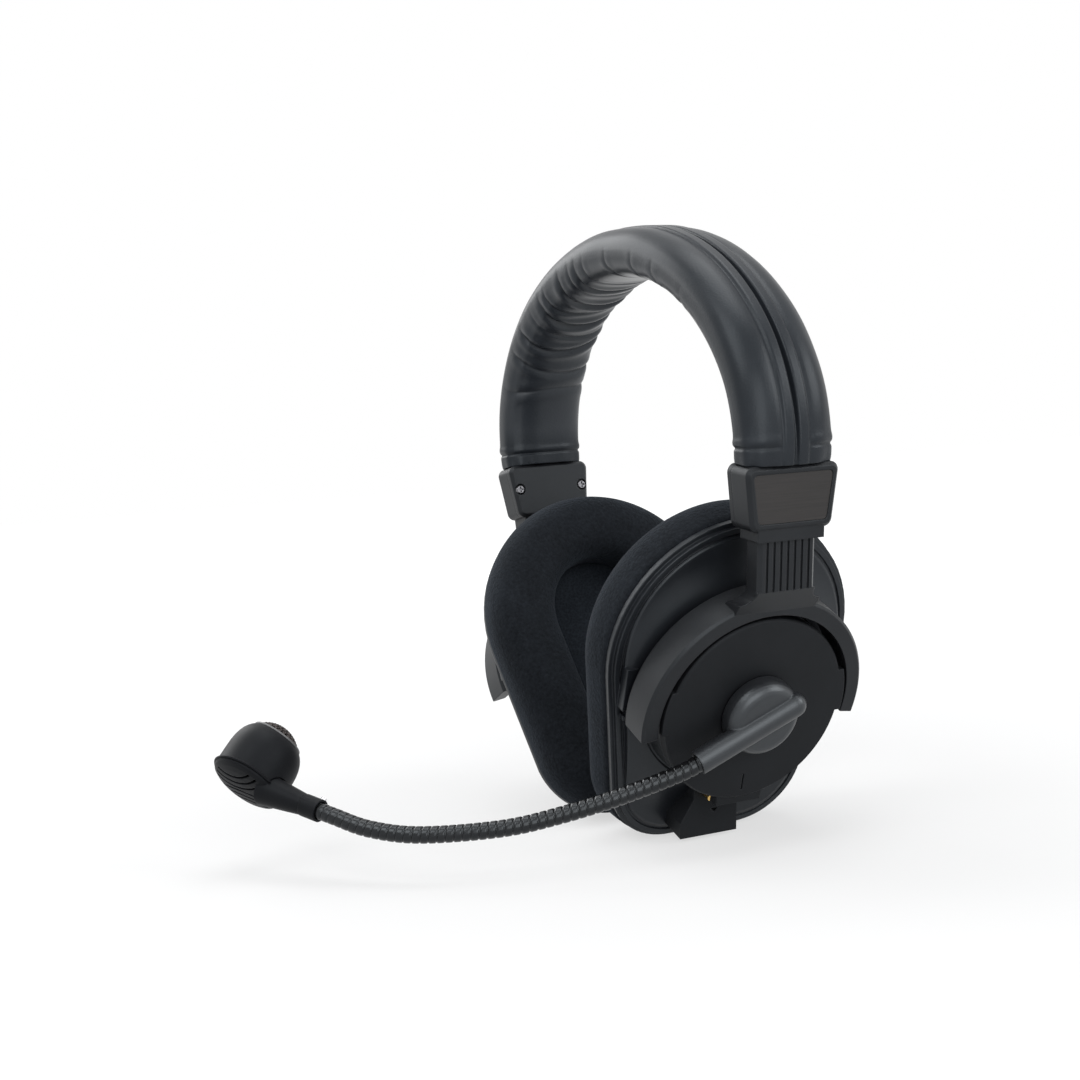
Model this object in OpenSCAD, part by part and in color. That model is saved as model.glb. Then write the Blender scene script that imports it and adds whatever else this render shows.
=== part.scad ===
// Headset with a boom microphone: a padded headband, two ear cups hung in forks,
// and a gooseneck boom that turns on the left cup.
// Millimetres. +Z is up, the wearer faces -Y and the left ear is at +X.
// The origin lies midway between the ears.

/* [Headband] */
// Half the width of the arch, to the band's centre line
band_half_span = 78.5; // [72:0.5:88]
// Rise of the centre line above the arch's widest point
band_rise = 59.8; // [52:0.2:72]
// Height of the widest point above the line between the ears
band_wide_z = 80; // [77:0.5:84]
// Height of the end blocks' tops above the line between the ears
block_top_z = 73.2; // [70:0.2:75]
// Width of the padded cover, front to back
band_w = 29.5; // [27:0.5:36]
// Thickness of the padded cover at the crown
band_t = 15.5; // [14:0.5:19]
// Thickness of the padded cover where it meets an end block
band_end_t = 13.4; // [12.6:0.1:15]
// Thickness of the leatherette
cover_wall = 1.2; // [0.8:0.1:1.5]
// Depth of the slit where the leatherette's edges meet along the top
slit_depth = 1.6; // [0.8:0.1:2.2]
// Height of the turned edge on each side of the slit
lip_rise = 0.8; // [0.3:0.1:1.4]
// Depth of the creases on the underside
crease_depth = 0.9; // [0.3:0.1:1.4]
// Width of the steel spring strip
spring_w = 12; // [8:0.5:16]
// Thickness of the steel spring strip
spring_t = 0.8; // [0.5:0.1:1.1]

/* [End blocks] */
// Thickness of an end block, inner face to outer face
block_d = 11.7; // [11:0.1:14]
// Height of an end block
block_h = 18.5; // [16:0.5:24]
// Width of an end block at its top
block_top_w = 30.6; // [29.5:0.2:36]
// Width of an end block at its bottom
block_bottom_w = 27.4; // [26.5:0.2:32]
// Corner radius of an end block
block_corner_r = 2.6; // [1.8:0.1:3.4]
// Bevel round an end block's faces
block_bevel = 1.1; // [0.5:0.1:1.4]
// Thickness of the wall outside the fork's stem
block_outer_wall = 1.8; // [1.4:0.1:2.4]
// Thickness of the screwed inner cover
inner_cover_t = 3.0; // [2.4:0.1:3.6]
// Height of the collar under an end block
neck_h = 3; // [2:0.5:5]
// Wall of that collar
neck_wall = 1.2; // [0.8:0.1:1.8]
// Border left round the label recess
label_border = 2.2; // [1.8:0.1:3]
// Depth of the label recess
label_recess = 0.6; // [0.3:0.1:0.8]
// Thickness of the label plate
label_t = 0.4; // [0.2:0.1:0.5]
// Distance of a cover screw below the block's top
screw_drop = 8.6; // [6:0.2:10]
// Head diameter of a cover screw
screw_head_d = 3.6; // [3:0.1:4]
// Height of a cover screw's head
screw_head_t = 1.4; // [1:0.1:1.6]
// Shank diameter of a cover screw
screw_d = 2; // [1.6:0.1:2.2]
// Length of a cover screw under its head
screw_len = 5; // [4:0.5:6]

/* [Forks] */
// Width of a fork's stem
stem_w = 19; // [16:0.2:19.6]
// Length of the stem's thin tongue above the block's top at rest
stem_head = 6; // [4:0.5:7]
// Thickness of that tongue
tongue_t = 3; // [2:0.1:3.4]
// Travel of the stem upwards from rest
slide_up = 10; // [6:1:11]
// Chamfer along the stem's outer edges
stem_chamfer = 1.2; // [0.6:0.1:1.6]
// Number of grooves on the stem's face
groove_count = 7; // [3:1:7]
// Distance between grooves
groove_pitch = 2.3; // [1.8:0.1:2.5]
// Width of a groove
groove_w = 0.8; // [0.4:0.1:1.2]
// Depth of a groove
groove_depth = 0.7; // [0.3:0.1:1]
// Distance from the block's top down to the cup's pivot
pivot_drop = 74.1; // [72:0.2:80]
// Distance of the pivot inwards of the block's middle
pivot_inset = 17.3; // [16:0.1:19]
// Tilt of the fork's ring from its stem, degrees
ring_tilt = 16.5; // [14.5:0.5:18]
// Width of the ring's outer face
ring_wall = 5; // [4:0.1:6]
// Depth of the ring
ring_depth = 11.6; // [9.6:0.2:12]
// How far the ring's arms run on below the pivot, degrees
arm_overrun = 9; // [7:0.5:11]
// Diameter of a pivot pin
pin_d = 3; // [2.4:0.1:3.2]

/* [Ear cups] */
// Tilt of a cup from the fork's stem at rest, degrees
cup_tilt = 13.5; // [12.5:0.5:15]
// Depth of the pivot behind the cap's face
pivot_depth = 6.5; // [6.4:0.1:7]
// Radius of the round cap
cap_r = 29.8; // [28:0.2:31]
// Thickness of the cap
cap_t = 4; // [3:0.2:4]
// Depth of the cup from the cap's face to its rim
cup_depth = 20; // [19:0.5:23]
// Thickness of the rim
rim_t = 3.4; // [3:0.1:4]
// Wall of the cup
cup_wall = 2.2; // [1.8:0.1:2.6]
// Radius of the rim's upper round
rim_top_r = 41; // [39:0.5:44]
// Height of the upper round's centre above the cap's centre
rim_top_z = 12.6; // [10:0.2:14]
// Radius of the rim's two lower rounds
rim_low_r = 22.5; // [20:0.5:25]
// Distance of the lower rounds from the middle
rim_low_y = 11.7; // [9:0.1:14]
// Depth of the lower rounds' centres below the cap's centre
rim_low_z = 29.7; // [27:0.1:31]
// Thickness of the baffle
baffle_t = 2; // [1.6:0.2:2.4]
// Radius of the driver
driver_r = 20; // [16:0.5:22]
// Depth of the driver
driver_t = 8; // [6:0.5:8.5]
// Thickness of an ear pad
pad_t = 18; // [15:0.5:18.5]
// Width of an ear pad's ring
pad_w = 21; // [17:0.5:22]
// Bulge of an ear pad beyond the rim
pad_bulge = 1.6; // [0.8:0.1:2]

/* [Socket] */
// Diameter of the cable socket
socket_d = 6.4; // [5:0.1:6.6]
// Depth of the cable socket
socket_len = 8; // [6:0.5:9]
// Width of the socket housing at its foot
socket_w = 20; // [17:0.5:21]
// How far the housing's front side slants in above its foot
socket_slant = 4.7; // [3:0.1:6]
// Height of the socket housing
socket_h = 16.5; // [14:0.5:17.5]

/* [Boom] */
// Radius of the boom's hub
hub_r = 12; // [10:0.2:14]
// Radius of the hub's flat top
hub_top_r = 8.4; // [6:0.2:9.4]
// Height of the hub
hub_h = 7.4; // [6:0.2:9]
// Diameter of the hub's axle
axle_d = 6; // [5:0.1:8]
// Wall of the bush that the axle turns in
bush_wall = 1.2; // [0.8:0.1:1.6]
// Diameter of the arm that holds the gooseneck
arm_d = 7.4; // [7:0.1:9]
// Length of the arm from the hub's centre
arm_len = 24; // [21:0.5:28]
// Slope of the arm below the horizontal, degrees
arm_slope = 26; // [20:1:32]
// Diameter of the gooseneck over its ribs
goose_d = 5.1; // [4.4:0.1:5.6]
// Diameter of the gooseneck's bore
goose_bore_d = 2.6; // [1.8:0.1:3]
// Depth of the gooseneck's ribs
rib_depth = 0.45; // [0.2:0.05:0.6]
// Number of ribs on the gooseneck
rib_count = 48; // [30:1:60]

// Distance of the microphone's collar in front of the hub
boom_reach = 117.5; // [108:0.5:127]
// Distance of the microphone's collar inwards of the cap's face
boom_inset = 43; // [37:0.5:49]
// Depth of the microphone's collar below the hub
boom_drop = 40; // [37:0.5:43]

/* [Microphone] */
// Radius of the microphone's bulb at the seam between its two shells
mic_r = 11.6; // [10.8:0.1:12.4]
// Height of the bulb above the seam, to the grille's rim
mic_rise = 16.4; // [15:0.2:17.8]
// Radius of the bulb where its rounded shoulder begins
mic_top_r = 10.9; // [10.2:0.1:11.2]
// Height of that shoulder, to the grille's rim
mic_round = 6.6; // [5.4:0.2:7.8]
// Depth of the bulb's domed back below the seam
mic_drop = 2.8; // [2.6:0.1:3.6]
// Wall of the bulb
mic_wall = 1.4; // [1:0.1:1.6]
// Radius of the grille
grille_r = 7; // [6.2:0.1:7.4]
// Rise of the grille's dome
grille_rise = 3.2; // [2.4:0.1:3.8]
// Diameter of a grille hole
grille_hole_d = 0.9; // [0.5:0.1:1]
// Length of the neck from its collar to the bulb's middle
mic_reach = 28.8; // [27:0.2:31]
// Depth of the seam below the neck's axis
mic_sink = 0.2; // [0:0.1:1]
// Diameter of the neck at its collar
neck_d = 6.4; // [5.9:0.1:6.8]
// Diameter of the neck where it meets the bulb
neck_root_d = 10; // [8:0.2:11]

/* [Clearances] */
// Gap between a fork's stem and its block, all round
stem_gap = 0.25; // [0.15:0.05:0.35]
// Gap left between other pieces that move past each other
run_gap = 0.4; // [0.3:0.05:0.6]
// Radial gap of a turning shaft
shaft_gap = 0.05; // [0.02:0.01:0.09]
// Gap round a piece that is dropped into a recess
seat_gap = 0.1; // [0.05:0.05:0.2]
// Gap between the cap's edge and the inside of the fork's ring
ring_gap = 2.3; // [1.8:0.1:3]
// Radial gap between the gooseneck and the sockets that hold it
goose_gap = 0.2; // [0.1:0.05:0.3]

/* [Hidden] */

black_plastic = [0.11, 0.11, 0.12];
dark_plastic = [0.16, 0.16, 0.17];
leatherette = [0.13, 0.14, 0.16];
velour = [0.08, 0.08, 0.09];
steel = [0.75, 0.75, 0.77];
brass = [0.82, 0.62, 0.28];
plate_grey = [0.33, 0.3, 0.28];

round_fn = 64;
small_fn = 32;
// Length by which a cutting shape runs past the face that it opens
cut = 1;

function unit(v) = v / norm(v);
function flat(lists) = [for (l = lists) for (e = l) e];

// The arch is half an ellipse that runs on below its widest point to the end blocks
arch_start = -asin((band_wide_z - block_top_z) / band_rise);
arch_stop = 180 - arch_start;
function arch_point(t) = [band_half_span * cos(t), 0, band_wide_z + band_rise * sin(t)];
function arch_normal(t) = unit([band_rise * cos(t), 0, band_half_span * sin(t)]);
function arch_tangent(t) = let (n = arch_normal(t)) [-n[2], 0, n[0]];
function arch_angle(i, count, from, to) = from + (to - from) * i / (count - 1);
// Places a section point [y, outwards] on the arch at angle t
function on_arch(t, p) = arch_point(t) + arch_normal(t) * p[1] + [0, p[0], 0];
block_lean = -atan2(arch_normal(arch_start)[2], arch_normal(arch_start)[0]);

// Frame of the left end block: +X outwards, +Z up the slide, origin in the middle of its top
module at_block() {
    translate(arch_point(arch_start)) rotate([0, block_lean, 0]) children();
}
// Frame on the left cup's pivot line
module at_pivot() {
    at_block() translate([-pivot_inset, 0, -pivot_drop]) children();
}
// Frame of the fork's ring: +X outwards along the ring's axis, origin on the pivot line
module at_ring() {
    at_pivot() rotate([0, ring_tilt, 0]) children();
}
// Frame of the left cup: +X outwards, origin in the middle of the cap's face
module at_cup() {
    at_pivot() rotate([0, cup_tilt, 0]) translate([pivot_depth, 0, 0]) children();
}
// Left pieces as drawn, right pieces mirrored
module side(right) {
    if (right) mirror([1, 0, 0]) children();
    else children();
}
// A round piece along +X, from x0 to x1
module rod_x(r, x0, x1, fn = round_fn) {
    translate([x0, 0, 0]) rotate([0, 90, 0]) cylinder(r = r, h = x1 - x0, $fn = fn);
}
// A round piece along +Y, from y0 to y1
module rod_y(r, y0, y1, fn = small_fn) {
    translate([0, y0, 0]) rotate([-90, 0, 0]) cylinder(r = r, h = y1 - y0, $fn = fn);
}
// A revolved piece about +X; the profile gives [radius, x]
module turned_x(profile) {
    rotate([0, 90, 0]) rotate_extrude($fn = round_fn) polygon(profile);
}
// Box from a low corner to a high corner
module box(low, high) {
    translate(low) cube(high - low);
}

// Triangles between two rings of n points that start at indices a and b
function band_faces(n, a, b) = [
    for (j = [0 : n - 1], k = [0, 1])
        k == 0 ? [a + j, b + j, a + (j + 1) % n] : [a + (j + 1) % n, b + j, b + (j + 1) % n]
];
function flipped(faces) = [for (f = faces) [f[2], f[1], f[0]]];
function side_faces(n, rings, first) = flat([
    for (i = [0 : rings - 2]) band_faces(n, first + i * n, first + (i + 1) * n)
]);
// Triangles that close an end between an outer ring of n points and an inner ring of n / m
function end_faces(n, m, a, b) = flat([
    for (j = [0 : n / m - 1]) concat(
        [for (k = [0 : m - 1]) [a + j * m + k, a + (j * m + k + 1) % n, b + j]],
        [[b + j, a + ((j + 1) * m) % n, b + (j + 1) % (n / m)]]
    )
]);
// A closed tube whose wall lies between outer rings and inner rings
module tube_solid(outer, inner) {
    n = len(outer[0]);
    k = len(inner[0]);
    inner_first = n * len(outer);
    outer_last = n * (len(outer) - 1);
    inner_last = inner_first + k * (len(inner) - 1);
    polyhedron(
        points = concat(flat(outer), flat(inner)),
        faces = concat(
            side_faces(n, len(outer), 0),
            flipped(side_faces(k, len(inner), inner_first)),
            end_faces(n, n / k, 0, inner_first),
            flipped(end_faces(n, n / k, outer_last, inner_last))
        )
    );
}
// A solid through rings of points, with flat ends
module bar_solid(rings) {
    n = len(rings[0]);
    last = n * (len(rings) - 1);
    polyhedron(
        points = flat(rings),
        faces = concat(
            side_faces(n, len(rings), 0),
            [for (j = [1 : n - 2]) [0, j, j + 1]],
            [for (j = [1 : n - 2]) [last, last + j + 1, last + j]]
        )
    );
}
// A solid through rings of points that close on the first ring
module loop_solid(rings) {
    n = len(rings[0]);
    last = n * (len(rings) - 1);
    polyhedron(points = flat(rings), faces = concat(side_faces(n, len(rings), 0), band_faces(n, last, 0)));
}

// End blocks: an outer shell and a screwed inner cover, with the stem's channel between them
joint_x = -block_d / 2 + inner_cover_t;
stem_out = block_d / 2 - block_outer_wall - stem_gap;
stem_in = joint_x + stem_gap;
channel_out = stem_out + stem_gap;
channel_half_w = stem_w / 2 + stem_gap;
neck_half_w = channel_half_w + neck_wall;
neck_z = -block_h - neck_h;
block_taper = (block_top_w - block_bottom_w) / 2 / block_h;
// A screw stands midway between the channel and the block's edge
screw_y = (channel_half_w + block_top_w / 2 - screw_drop * block_taper) / 2;
screw_floor = -block_d / 2 + screw_head_t;
screw_hole_end = screw_floor + screw_len + cut / 2;

// Four corner posts of the tapering block between x0 and x1, drawn in by inset
module block_posts(x0, x1, inset = 0) {
    r = block_corner_r - min(inset, block_corner_r / 2);
    d = inset + r;
    for (s = [-1, 1]) {
        translate([0, s * (block_top_w / 2 - d), -d]) rod_x(r, x0, x1, small_fn);
        translate([0, s * (block_bottom_w / 2 - d), d - block_h]) rod_x(r, x0, x1, small_fn);
    }
}

module end_block(right) {
    color(black_plastic) side(right) at_block() difference() {
        union() {
            hull() {
                block_posts(joint_x, block_d / 2 - block_bevel);
                block_posts(joint_x, block_d / 2, block_bevel);
            }
            box([joint_x, -neck_half_w, neck_z], [channel_out + neck_wall, neck_half_w, cut - block_h]);
        }
        box([joint_x - cut, -channel_half_w, neck_z - cut], [channel_out, channel_half_w, cut]);
        hull() block_posts(block_d / 2 - label_recess, block_d / 2 + cut, label_border);
        for (s = [-1, 1]) translate([0, s * screw_y, -screw_drop]) {
            rod_x(screw_d / 2, joint_x - cut, screw_hole_end, small_fn);
        }
    }
}

// The spring strip's tails lie in a pocket of the inner cover, beside the channel
spring_out = joint_x - seat_gap;
spring_tail = 13;
function strip_section(gap) = [
    [spring_w / 2 + gap, spring_out + gap], [spring_w / 2 + gap, spring_out - spring_t - gap],
    [-spring_w / 2 - gap, spring_out - spring_t - gap], [-spring_w / 2 - gap, spring_out + gap]
];

module block_cover(right) {
    color(black_plastic) side(right) at_block() difference() {
        union() {
            hull() {
                block_posts(-block_d / 2 + block_bevel, joint_x);
                block_posts(-block_d / 2, joint_x, block_bevel);
            }
            box([joint_x - neck_wall, -neck_half_w, neck_z], [joint_x, neck_half_w, cut - block_h]);
        }
        box([spring_out - spring_t - seat_gap, -spring_w / 2 - seat_gap, -spring_tail - seat_gap],
            [joint_x + cut, spring_w / 2 + seat_gap, cut]);
        for (s = [-1, 1]) translate([0, s * screw_y, -screw_drop]) {
            rod_x(screw_d / 2 + seat_gap, -block_d, cut, small_fn);
            rod_x(screw_head_d / 2 + seat_gap, -block_d, screw_floor, small_fn);
        }
    }
}

// Cross recess in a screw's head: width of an arm, and depth
cross_w = 0.6;
cross_depth = 0.7;
module block_screws() {
    color(steel) for (right = [false, true], s = [-1, 1]) {
        side(right) at_block() translate([0, s * screw_y, -screw_drop]) difference() {
            turned_x([
                [0, -block_d / 2], [0.35 * screw_head_d, -block_d / 2],
                [screw_head_d / 2, screw_floor - screw_head_t / 2], [screw_head_d / 2, screw_floor],
                [screw_d / 2, screw_floor], [screw_d / 2, screw_floor + screw_len],
                [0, screw_floor + screw_len]
            ]);
            for (turn = [0, 90]) translate([-block_d / 2, 0, 0]) rotate([turn, 0, 0]) {
                cube([2 * cross_depth, cross_w, 0.6 * screw_head_d], center = true);
            }
        }
    }
}

module label_plate() {
    x = block_d / 2 - label_recess;
    color(plate_grey) at_block() hull() block_posts(x, x + label_t, label_border + seat_gap);
}

// Headband: leatherette wrapped round foam, with the steel strip inside
cover_rings = 44;
foam_rings = 34;
// Stretch at each end, in degrees of arch, over which the padding is drawn in to the block
end_gather = 24;
function padding(t) =
    let (d = min(t - arch_start, arch_stop - t)) d > end_gather ? 1 : sin(90 * d / end_gather);
function cover_half_t(t) = (band_end_t + (band_t - band_end_t) * padding(t)) / 2;
// Creases lie across the underside between these angles on each half of the arch
crease_from = 22;
crease_to = 66;
function crease(t, i) =
    let (a = min(t, 180 - t)) (a > crease_from && a < crease_to && i % 2 == 0) ? crease_depth : 0;
// Rounding of the padded edges, half width of the slit and of each turned edge
edge_round = 4.2;
slit_half = 1.3;
lip_foot = 3.6;
function mirrored(half) = [for (j = [len(half) - 1 : -1 : 0]) [-half[j][0], half[j][1]]];
// Half of the cover's section, from the slit to the underside, as [y, outwards]
function cover_half(t, i) = let (h = cover_half_t(t), w = band_w / 2, c = crease(t, i)) [
    [slit_half, h + lip_rise * padding(t)],
    [slit_half + lip_foot, h - lip_rise / 3],
    [w - edge_round, h - edge_round / 4],
    [w - edge_round / 5, h - edge_round],
    [w, 0],
    [w - edge_round / 3, edge_round - h + c],
    [w - 1.2 * edge_round, edge_round / 5 - h + c]
];
function cover_section(t, i) = let (h = cover_half_t(t), half = cover_half(t, i)) concat(
    [[0, h - slit_depth * padding(t)]], half, [[0, crease(t, i) - h]], mirrored(half)
);
// The hollow inside the cover, drawn in by gap where the foam fills it
function hollow_section(t, gap) =
    let (
        top = cover_half_t(t) - slit_depth * padding(t) - cover_wall - gap,
        low = cover_half_t(t) - crease_depth * padding(t) - cover_wall - gap,
        w = band_w / 2 - cover_wall - edge_round / 3 - gap,
        half = [
            [w - edge_round / 2, top - edge_round / 4], [w, 0], [w - edge_round / 2, edge_round / 3 - low]
        ]
    )
    concat([[0, top]], half, [[0, -low]], mirrored(half));

module headband_cover() {
    steps = [for (i = [0 : cover_rings - 1]) arch_angle(i, cover_rings, arch_start, arch_stop)];
    color(leatherette) tube_solid(
        [for (i = [0 : cover_rings - 1]) [for (p = cover_section(steps[i], i)) on_arch(steps[i], p)]],
        [for (t = steps) [for (p = hollow_section(t, 0)) on_arch(t, p)]]
    );
}

// The foam leaves the stems room to rise inside the ends of the cover
foam_from = arch_start + (stem_head + slide_up + 2 * run_gap) / band_rise * 180 / PI;
foam_to = 180 - foam_from;
module headband_foam() {
    steps = [for (i = [0 : foam_rings - 1]) arch_angle(i, foam_rings, foam_from, foam_to)];
    color("dimgray") tube_solid(
        [for (t = steps) [for (p = hollow_section(t, seat_gap)) on_arch(t, p)]],
        [for (t = steps) [for (p = strip_section(seat_gap)) on_arch(t, p)]]
    );
}

module headband_spring() {
    steps = [for (i = [0 : cover_rings - 1]) arch_angle(i, cover_rings, arch_start, arch_stop)];
    arch = [for (t = steps) [for (p = strip_section(0)) on_arch(t, p)]];
    tail = arch_tangent(arch_start) * spring_tail;
    far_tail = [-tail[0], tail[1], tail[2]];
    color(steel) bar_solid(concat(
        [[for (p = arch[0]) p - tail]], arch, [[for (p = arch[cover_rings - 1]) p - far_tail]]
    ));
}

// Forks: a grooved stem, a shoulder and a C-shaped ring whose arms carry the pivot pins
pin_r = pin_d / 2;
ring_r = cap_r + ring_gap;
ring_out_r = ring_r + ring_wall;
// The ring's face lies this far behind the cap's face
ring_set = 0.5;
ring_out_x = pivot_depth - ring_set;
ring_in_x = ring_out_x - ring_depth;
ring_chamfer = 0.8;
// The stem runs straight down to the shoulder, which steps in to the ring and flares out along it
shoulder_rise = 0.8;
shoulder_z = ring_out_r + shoulder_rise - pivot_drop;
shoulder_flare = 4;
shoulder_depth = 6.5;
shoulder_steps = 5;
// Point of the ring's frame, as [x, z] in the block's frame
function ring_to_block(x, z) = [
    x * cos(ring_tilt) + z * sin(ring_tilt) - pivot_inset,
    z * cos(ring_tilt) - x * sin(ring_tilt) - pivot_drop
];
function flare_half(s) = [
    for (k = [0 : shoulder_steps]) let (a = 90 * k / shoulder_steps)
        [s * (stem_w / 2 + shoulder_flare * (1 - cos(a))), shoulder_z - shoulder_flare * sin(a)]
];
pin_boss_wall = 0.8;
// The pins' bores end inside the ring's wall
pin_end = ring_out_r - ring_wall / 3;
pin_boss_r = pin_r + pin_boss_wall;

module ring_arc() {
    arc = 180 + 2 * arm_overrun;
    rotate([0, 90, 0]) rotate([0, 0, 180 - arc / 2]) rotate_extrude(angle = arc, $fn = round_fn) polygon([
        [ring_r, ring_in_x], [ring_out_r - ring_chamfer, ring_in_x], [ring_out_r, ring_in_x + ring_chamfer],
        [ring_out_r, ring_out_x - ring_chamfer], [ring_out_r - ring_chamfer, ring_out_x], [ring_r, ring_out_x]
    ]);
}

// The thick part of the stem stays below the block's top when it is pushed up
stem_top = -slide_up - run_gap;
// Half the side of the square bar that cuts the stem's chamfers
chamfer_half = stem_chamfer / sqrt(2);
module stem() {
    foot = shoulder_z - 3 * shoulder_flare;
    outline = concat(
        [[-stem_w / 2, stem_top]], flare_half(-1), [[-stem_w / 2 - shoulder_flare, foot]],
        [[stem_w / 2 + shoulder_flare, foot]], [for (k = [shoulder_steps : -1 : 0]) flare_half(1)[k]],
        [[stem_w / 2, stem_top]]
    );
    profile = [
        [stem_in, stem_top], [stem_out, stem_top], [stem_out, shoulder_z],
        ring_to_block(ring_out_x, ring_r + ring_wall / 3), ring_to_block(ring_out_x, ring_r - ring_wall / 2),
        ring_to_block(ring_out_x - shoulder_depth, ring_r - ring_wall / 2),
        ring_to_block(ring_out_x - shoulder_depth, ring_r + ring_wall / 3), [stem_in, shoulder_z]
    ];
    at_block() {
        intersection() {
            translate([-block_d, 0, 0]) rotate([90, 0, 90]) linear_extrude(2 * block_d) polygon(outline);
            translate([0, stem_w, 0]) rotate([90, 0, 0]) linear_extrude(2 * stem_w) polygon(profile);
        }
        box([stem_in, -stem_w / 2, stem_top - cut], [stem_in + tongue_t, stem_w / 2, stem_head]);
    }
}

module fork(right) {
    color(black_plastic) side(right) difference() {
        union() {
            difference() {
                stem();
                at_ring() rod_x(ring_r + ring_chamfer, -ring_out_r, ring_out_r);
                for (s = [-1, 1]) at_block() translate([stem_out, s * stem_w / 2, 0]) rotate([0, 0, 45]) {
                    box([-chamfer_half, -chamfer_half, shoulder_z], [chamfer_half, chamfer_half, cut]);
                }
                for (k = [0 : groove_count - 1]) at_block() {
                    translate([stem_out, (k - (groove_count - 1) / 2) * groove_pitch, 0])
                        box([-groove_depth, -groove_w / 2, shoulder_z], [cut, groove_w / 2, cut]);
                }
            }
            at_ring() ring_arc();
            for (turn = [0, 180]) at_pivot() rotate([0, 0, turn]) {
                rod_y(pin_boss_r, cap_r + run_gap, ring_r + cut);
            }
        }
        at_pivot() rod_y(pin_r, -pin_end, pin_end);
    }
}

// Depth to which a pin enters the cup's wall
pin_seat = 5;
module pivot_pins(right) {
    color(steel) side(right) at_pivot() for (turn = [0, 180]) {
        rotate([0, 0, turn]) rod_y(pin_r, cap_r - pin_seat, pin_end - seat_gap);
    }
}

// Ear cups: the rim is an egg, the round hull of one large and two smaller circles
egg_points = 64;
egg_rounds = [
    [0, rim_top_z, rim_top_r], [rim_low_y, -rim_low_z, rim_low_r], [-rim_low_y, -rim_low_z, rim_low_r]
];
function egg_normal(i) = let (a = 90 + 360 * (i + 0.5) / egg_points) [cos(a), sin(a)];
// The outline's point whose outward normal is n, moved outwards by grow, as [y, z]
function egg_point(n, grow) =
    let (reach = [for (c = egg_rounds) c[0] * n[0] + c[1] * n[1] + c[2]])
    let (c = egg_rounds[search(max(reach), reach)[0]])
    [c[0], c[1]] + n * (c[2] + grow);
function egg(grow) = [for (i = [0 : egg_points - 1]) egg_point(egg_normal(i), grow)];
// A slab with the egg's outline between x0 and x1
module egg_slab(grow, x0, x1) {
    translate([x0, 0, 0]) rotate([90, 0, 90]) linear_extrude(x1 - x0) polygon(egg(grow));
}

rim_x = -cup_depth;
pan_x = rim_x + rim_t;
baffle_seat = rim_x + baffle_t;
// The rim's flange stands out past its upper step, whose face has a groove all round
rim_flange_t = 1.8;
rim_step = 1.4;
rim_groove_in = 3;
rim_groove_w = 0.8;
rim_groove_depth = 0.6;
// The dished back of the cup: a revolved dish trimmed by the egg, as [radius, height above the rim's top]
pan_lip = 2.8;
pan_edge = rim_groove_in + rim_groove_w + seat_gap;
pan_rise = 3.2;
pan_crest = 0.6;
pan_slope = 15;
pan_steps = 5;
boss_x = pan_x + pan_rise;
pan_dish = concat(
    [for (k = [0 : pan_steps]) let (f = k / pan_steps)
        [cap_r + pan_crest + pan_slope * f, pan_rise * (1 + cos(180 * f)) / 2]],
    [[2 * cap_r, 0]]
);
module pan() {
    inside = [
        for (k = [len(pan_dish) - 1 : -1 : 0])
            [pan_dish[k][0], max(pan_x + pan_dish[k][1] - cup_wall, baffle_seat)]
    ];
    intersection() {
        turned_x(concat(
            [[cap_r - cup_wall, boss_x]], [for (p = pan_dish) [p[0], pan_x + p[1]]],
            inside, [[cap_r - cup_wall, boss_x - cup_wall]]
        ));
        egg_slab(-pan_edge, rim_x, 0);
    }
}
// Stops beside the fork's arms: a raised pad and a small rib below it
lug_in_y = ring_r + 1.4;
lug_out_y = rim_top_r - rim_groove_in - rim_groove_w;
lug_low = -2;
lug_high = 11.5;
lug_rib = 1.4;
lug_x = ring_in_x - pivot_depth - 3 * run_gap;

// The rim, open in the middle, with a seat for the baffle and a groove round its face
module rim() {
    difference() {
        union() {
            egg_slab(0, rim_x, rim_x + rim_flange_t);
            egg_slab(-rim_step, rim_x, pan_x);
        }
        egg_slab(-cup_wall - pan_lip, rim_x - cut, pan_x + cut);
        egg_slab(-cup_wall, rim_x - cut, baffle_seat);
        difference() {
            egg_slab(-rim_groove_in, pan_x - rim_groove_depth, pan_x + cut);
            egg_slab(-rim_groove_in - rim_groove_w, rim_x, 0);
        }
    }
}

module cup_shell(right) {
    color(dark_plastic) side(right) at_cup() difference() {
        union() {
            rim();
            pan();
            turned_x([
                [cap_r - cup_wall, boss_x - cup_wall / 2], [cap_r, boss_x - cup_wall / 2],
                [cap_r, -cap_t], [cap_r - cup_wall, -cap_t]
            ]);
            for (turn = [0, 180]) rotate([turn, 0, 0]) translate([-pivot_depth, 0, 0]) {
                rod_y(pin_boss_r, cap_r - pin_seat - cut, cap_r - cup_wall / 2);
            }
            for (s = [0, 1]) mirror([0, s, 0]) {
                box([pan_x - cut, lug_in_y, lug_low], [lug_x, lug_out_y, lug_high]);
                box([pan_x - cut, lug_in_y, lug_low - 3 * lug_rib],
                    [lug_x - lug_rib, lug_out_y - lug_rib, lug_low - 2 * lug_rib]);
            }
        }
        for (turn = [0, 180]) rotate([turn, 0, 0]) translate([-pivot_depth, 0, 0]) {
            rod_y(pin_r + shaft_gap, cap_r - pin_seat - 2 * cut, cap_r + cut);
        }
        if (!right) socket_room(seat_gap);
    }
}

// Cable socket at the bottom of the left cup, in a housing with one slanting side
socket_y = -2.5;
socket_right = 5.6;
socket_left = socket_right - socket_w;
socket_top = -cap_r - run_gap;
socket_low = socket_top - socket_h;
socket_face = -7;
socket_mid = -12;
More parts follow.
